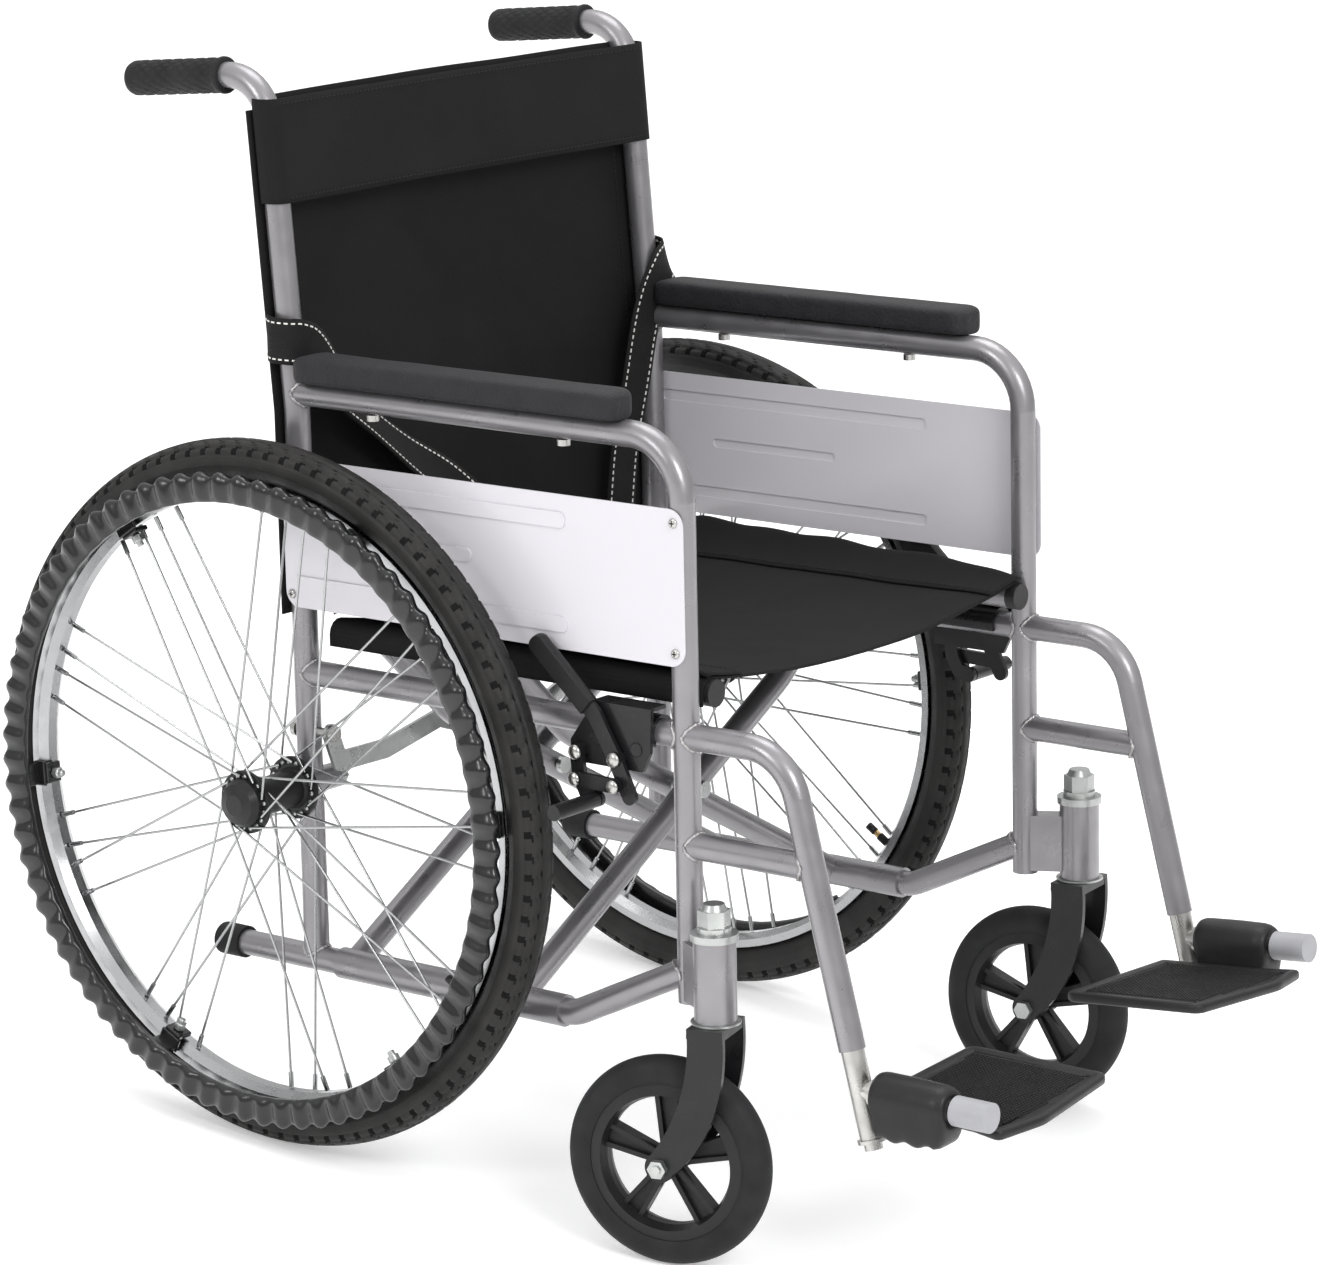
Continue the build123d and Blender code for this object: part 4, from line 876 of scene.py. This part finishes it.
for side, name in SIDES:
    def hem_point(u, v, side=side):
        """A point of the loose hem over a rail: u runs outwards, v from front to back."""
        y = SEAT_Y[0] - 1.0 + (SEAT_Y[1] - SEAT_Y[0] + 2.0) * v
        x = side * (X_RAIL - HEM_WIDTH + 46 * u)
        loose = 0.35 + 0.65 * v + 0.22 * ripple(y, 0, 55, side * 5.3)
        held_at_ends = math.sin(math.pi * min(1.0, 0.12 + v * 6, 0.12 + (1 - v) * 6) / 2)
        lift = 2.6 + 20.0 * loose * u ** 1.6 * held_at_ends
        return (x, y, seat_height(x, y) + lift)
    hem = cloth(f"seat_hem_{name}", 12, 90, hem_point, MAT["fabric"], 1.6)
    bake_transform(hem)
    for from_edge in SEAT_SEAMS:
        x = side * (X_RAIL - HEM_WIDTH + from_edge)
        path = [(x, y, seat_height(x, y) + 4.6) for y in np.linspace(SEAT_Y[0] + 4, SEAT_Y[1] - 4, 60)]
        seam = add_mesh(f"seat_seam_{name}_{int(from_edge)}", *stitches(path, UP, *SEAT_STITCH),
                        MAT["dark_thread"], smooth=False)
        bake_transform(seam)

# ---------------------------------------------------------------- back sling
BACK_Z = (466.0, 892.0)
BAND_Z = (815.0, 902.0)
CLEAR = R_TUBE + 1.3
BAND_BULGE = 5.5


def narrow(piece):
    """The piece hangs on the right-hand post and gets a mesh of its own; the real one is pressed narrower as
    the chair folds.
    """
    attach(piece, "right_side")
    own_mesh(piece)


def back_hollow(share, v):
    """How far the main panel bulges rearwards, at a share of the way to a post and a share of its height."""
    return 13.0 * (1 - share ** 2) * (0.6 + 0.4 * math.sin(math.pi * v))


def back_point(u, v):
    """u runs across the main panel, v up it."""
    x = -252.0 + 504.0 * u
    z = BACK_Z[0] + (BACK_Z[1] - BACK_Z[0]) * v
    share = min(1.0, abs(x) / X_FRAME)
    hollow = back_hollow(share, v)
    crease = 2.6 * ripple(x, z, 110, 2.2) + 1.0 * ripple(x + 0.8 * z, z * 0.3, 42, 8.1)
    fade = 1 - share ** 6
    return (x, post_y(z) + CLEAR + 0.2 + hollow + crease * fade, z)


back = cloth("back_cloth", 101, 91, back_point, MAT["fabric_back"], 2.0)
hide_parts("backrest")
narrow(back)


def band_point(u, v):
    """v runs round the band, which goes in front of both posts and behind them; u up it."""
    z = BAND_Z[0] + (BAND_Z[1] - BAND_Z[0]) * u
    r = CLEAR + 0.6
    straight = 2 * X_FRAME
    total = 2 * straight + 2 * math.pi * r
    s = v * total
    edge = 0.8 * ripple(s, 0, 120, 4.0 + round(u))
    z += edge * (1 if u in (0.0, 1.0) else 0)
    if s < straight:
        x = -X_FRAME + s
        share = abs(x) / X_FRAME
        crease = 0.7 * ripple(x, z, 60, 9.0) * (1 - share ** 4)
        return (x, post_y(z) - r + BAND_BULGE * (1 - share ** 2) + crease, z)
    s -= straight
    if s < math.pi * r:
        a = s / r
        return (X_FRAME + r * math.sin(a), post_y(z) - r * math.cos(a), z)
    s -= math.pi * r
    if s < straight:
        x = X_FRAME - s
        share = abs(x) / X_FRAME
        return (x, post_y(min(z, 884)) + r + 1.4 + 11.0 * (1 - share ** 2) + 0.5 * ripple(x, z, 60, 6.0), z)
    a = (s - straight) / r
    return (-X_FRAME - r * math.sin(a), post_y(z) + r * math.cos(a), z)


band = cloth("back_band", 15, 240, band_point, MAT["fabric_back"], 1.8, close_cols=True)
narrow(band)
for height in (BAND_Z[0] + 4.5, BAND_Z[1] - 4.5):
    path = []
    for x in np.linspace(-X_FRAME + 4, X_FRAME - 4, 70):
        share = abs(x) / X_FRAME
        path.append((x, post_y(height) - CLEAR - 1.9 + BAND_BULGE * (1 - share ** 2), height))
    seam = add_mesh(f"band_seam_{int(height)}", *stitches(path, FORWARD, *BACK_STITCH),
                    MAT["dark_thread"], smooth=False)
    narrow(seam)
for x in (-222.0, 222.0):
    path = []
    for z in np.linspace(BACK_Z[0] + 6, BAND_Z[0], 90):
        share = abs(x) / X_FRAME
        v = (z - BACK_Z[0]) / (BACK_Z[1] - BACK_Z[0])
        path.append((x, post_y(z) + CLEAR + back_hollow(share, v) - 1.2, z))
    seam = add_mesh(f"back_seam_{'left' if x > 0 else 'right'}", *stitches(path, FORWARD, *BACK_STITCH),
                    MAT["dark_thread"], smooth=False)
    narrow(seam)


# ---------------------------------------------------------------- lap belt
def ribbon(name, centre_line, across, width, mat):
    """A strap along a line of points; across gives its width direction at each point."""
    rows = len(centre_line)
    cols = 9
    verts = []
    for p, w in zip(centre_line, across):
        w = Vector(w).normalized()
        for j in range(cols):
            s = j / (cols - 1) - 0.5
            verts.append(Vector(p) + w * width * s)
    obj = add_mesh(name, verts, grid_faces(rows, cols), mat)
    thicken(obj, BELT_THICK)
    return obj


def smooth_line(points, count):
    """A smooth line through a few points."""
    pts = [Vector(p) for p in points]
    pts = [2 * pts[0] - pts[1]] + pts + [2 * pts[-1] - pts[-2]]
    out = []
    spans = len(pts) - 3
    for i in range(count):
        t = i / (count - 1) * spans
        k = min(int(t), spans - 1)
        f = t - k
        a, b, c, d = pts[k:k + 4]
        second = 2 * a - 5 * b + 4 * c - d
        third = 3 * b - a - 3 * c + d
        out.append(0.5 * (2 * b + (c - a) * f + second * f * f + third * f ** 3))
    return out


BELT_WIDTH = 39.0
BELT_THICK = 1.8
# points of each strap's middle, and its width direction at each
STRAPS = {
    "right": (
        ((-228, 206, 707), (-246, 202, 704), (-256, 190, 702), (-253, 173, 701), (-240, 166, 699),
         (-224, 167, 688), (-190, 173, 653), (-145, 181, 618), (-90, 187, 580), (-36, 190, 546),
         (0, 188, 516)),
        ((0, 0, 1), (0, 0, 1), (0, 0, 1), (0, 0.05, 1), (0, 0, 1), (0.35, 0, 1),
         (0.6, 0.35, 0.75), (0.5, 0.7, 0.7), (0.45, 0.6, 0.8), (0.5, 0.3, 1), (0.7, 0.1, 1)),
    ),
    "left": (
        ((230, 208, 712), (247, 203, 709), (258, 190, 706), (256, 174, 704), (243, 167, 700), (227, 167, 680),
         (215, 168, 650), (201, 169, 597), (188, 172, 542), (184, 176, 486)),
        ((-0.1, 0, 1), (-0.1, 0, 1), (-0.1, 0, 1), (-0.3, 0, 1), (-0.8, 0, 0.7), (-1, 0, 0.35),
         (-1, 0, 0.2), (-1, 0, 0.15), (-1, 0, 0.1), (-1, 0, 0)),
    ),
}
STITCH_PITCH = 6.2
STITCH_HALF = (1.7, 0.65, 0.3)


def seam_run(path, outs):
    """A row of stitches that follows a strap, evenly spaced, each lying on the strap's face."""
    parts = []
    travelled, due = 0.0, 3.0
    for a, b, out in zip(path, path[1:], outs):
        step = (b - a).length
        along = (b - a) / step
        across = along.cross(out).normalized()
        while due <= travelled + step:
            p = a + along * (due - travelled)
            long_half, wide_half, high_half = STITCH_HALF
            parts.append(box_mesh(p, along * long_half, across * wide_half, out * high_half))
            due += STITCH_PITCH
        travelled += step
    return merged(parts)


for name, (points, widths) in STRAPS.items():
    count = 90
    line = smooth_line(points, count)
    across = smooth_line(widths, count)
    strap = ribbon(f"strap_{name}", line, across, BELT_WIDTH, MAT["web"])
    seams = []
    for edge in (-1, 1):
        for face in (-1, 1):
            path = []
            outs = []
            for i in range(count):
                w = across[i].normalized()
                ahead = (line[min(i + 1, count - 1)] - line[max(i - 1, 0)]).normalized()
                out = ahead.cross(w).normalized() * face
                path.append(line[i] + w * edge * (BELT_WIDTH / 2 - 4) + out * 1.1)
                outs.append(out)
            label = f"strap_{name}_seam_{'in' if edge < 0 else 'out'}_{'front' if face < 0 else 'rear'}"
            seam = add_mesh(label, *seam_run(path, outs), MAT["thread"], smooth=False)
            seams.append(seam)
    for piece in [strap] + seams:
        if name == "left":
            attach(piece, "left_side")
        else:
            narrow(piece)
    if name == "left":
        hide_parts("lap_belt")

# ---------------------------------------------------------------- camera, floor and light
AZ, EL, ROLL = math.radians(-52.08), math.radians(15.369), math.radians(2.475)
TARGET = Vector((-0.04029, 0.00293, 0.4568))
DISTANCE = 4.32498
back_dir = Vector((math.sin(AZ) * math.cos(EL), -math.cos(AZ) * math.cos(EL), math.sin(EL)))
right_dir = Vector((math.cos(AZ), math.sin(AZ), 0))
up_dir = back_dir.cross(right_dir)
right_rolled = right_dir * math.cos(ROLL) + up_dir * math.sin(ROLL)
up_rolled = -right_dir * math.sin(ROLL) + up_dir * math.cos(ROLL)
camera_data = bpy.data.cameras.new("camera")
camera = bpy.data.objects.new("camera", camera_data)
bpy.context.scene.collection.objects.link(camera)
pose = Matrix((right_rolled, up_rolled, back_dir)).transposed().to_4x4()
pose.translation = TARGET + back_dir * DISTANCE
camera.matrix_world = pose
camera_data.sensor_fit = "HORIZONTAL"
camera_data.sensor_width = 36
camera_data.lens = 138.2
camera_data.shift_x = 0.0087
camera_data.shift_y = -0.0147
camera_data.clip_end = 50
bpy.context.scene.camera = camera
bpy.context.scene.view_settings.view_transform = "Standard"

floor_mat = material("floor", (0.9, 0.9, 0.9), 0.8, grain=0.02, grain_scale=40, mottle=0.01, mottle_scale=2)
bpy.ops.mesh.primitive_plane_add(size=24, location=(0, 0, 0))
floor = bpy.context.object
floor.name = "floor"
floor_mat.node_tree.nodes["Principled BSDF"].inputs["Emission Color"].default_value = (1, 1, 1, 1)
floor_mat.node_tree.nodes["Principled BSDF"].inputs["Emission Strength"].default_value = 0.3
floor.data.materials.append(floor_mat)

world = bpy.data.worlds.new("world")
bpy.context.scene.world = world
world.use_nodes = True
tree = world.node_tree
sky = tree.nodes["Background"]
direction = tree.nodes.new("ShaderNodeTexCoord")
parts = tree.nodes.new("ShaderNodeSeparateXYZ")
height = tree.nodes.new("ShaderNodeMapRange")
height.inputs["From Min"].default_value = 0.0
height.inputs["From Max"].default_value = 0.75
height.inputs["To Min"].default_value = 0.42
height.inputs["To Max"].default_value = 1.15
sight = tree.nodes.new("ShaderNodeLightPath")
seen = tree.nodes.new("ShaderNodeMix")
seen.inputs["B"].default_value = 1.0
tree.links.new(direction.outputs["Generated"], parts.inputs["Vector"])
tree.links.new(parts.outputs["Z"], height.inputs["Value"])
tree.links.new(sight.outputs["Is Camera Ray"], seen.inputs["Factor"])
tree.links.new(height.outputs["Result"], seen.inputs["A"])
tree.links.new(seen.outputs["Result"], sky.inputs["Strength"])
sky.inputs["Color"].default_value = (1, 1, 1, 1)


def area_light(name, place, aim, size, power):
    """A square lamp that faces a point."""
    data = bpy.data.lights.new(name, "AREA")
    data.shape = "SQUARE"
    data.size = size
    data.energy = power
    light = bpy.data.objects.new(name, data)
    bpy.context.scene.collection.objects.link(light)
    light.location = place
    light.rotation_euler = (Vector(place) - Vector(aim)).to_track_quat("Z", "Y").to_euler()
    return light


area_light("key_light", (-1.6, -3.2, 3.0), (0, 0, 0.4), 1.4, 70)
area_light("side_light", (-3.6, 0.8, 2.4), (0, 0, 0.4), 1.2, 34)
area_light("top_light", (0.6, 0.6, 3.6), (0, 0, 0.4), 2.0, 40)
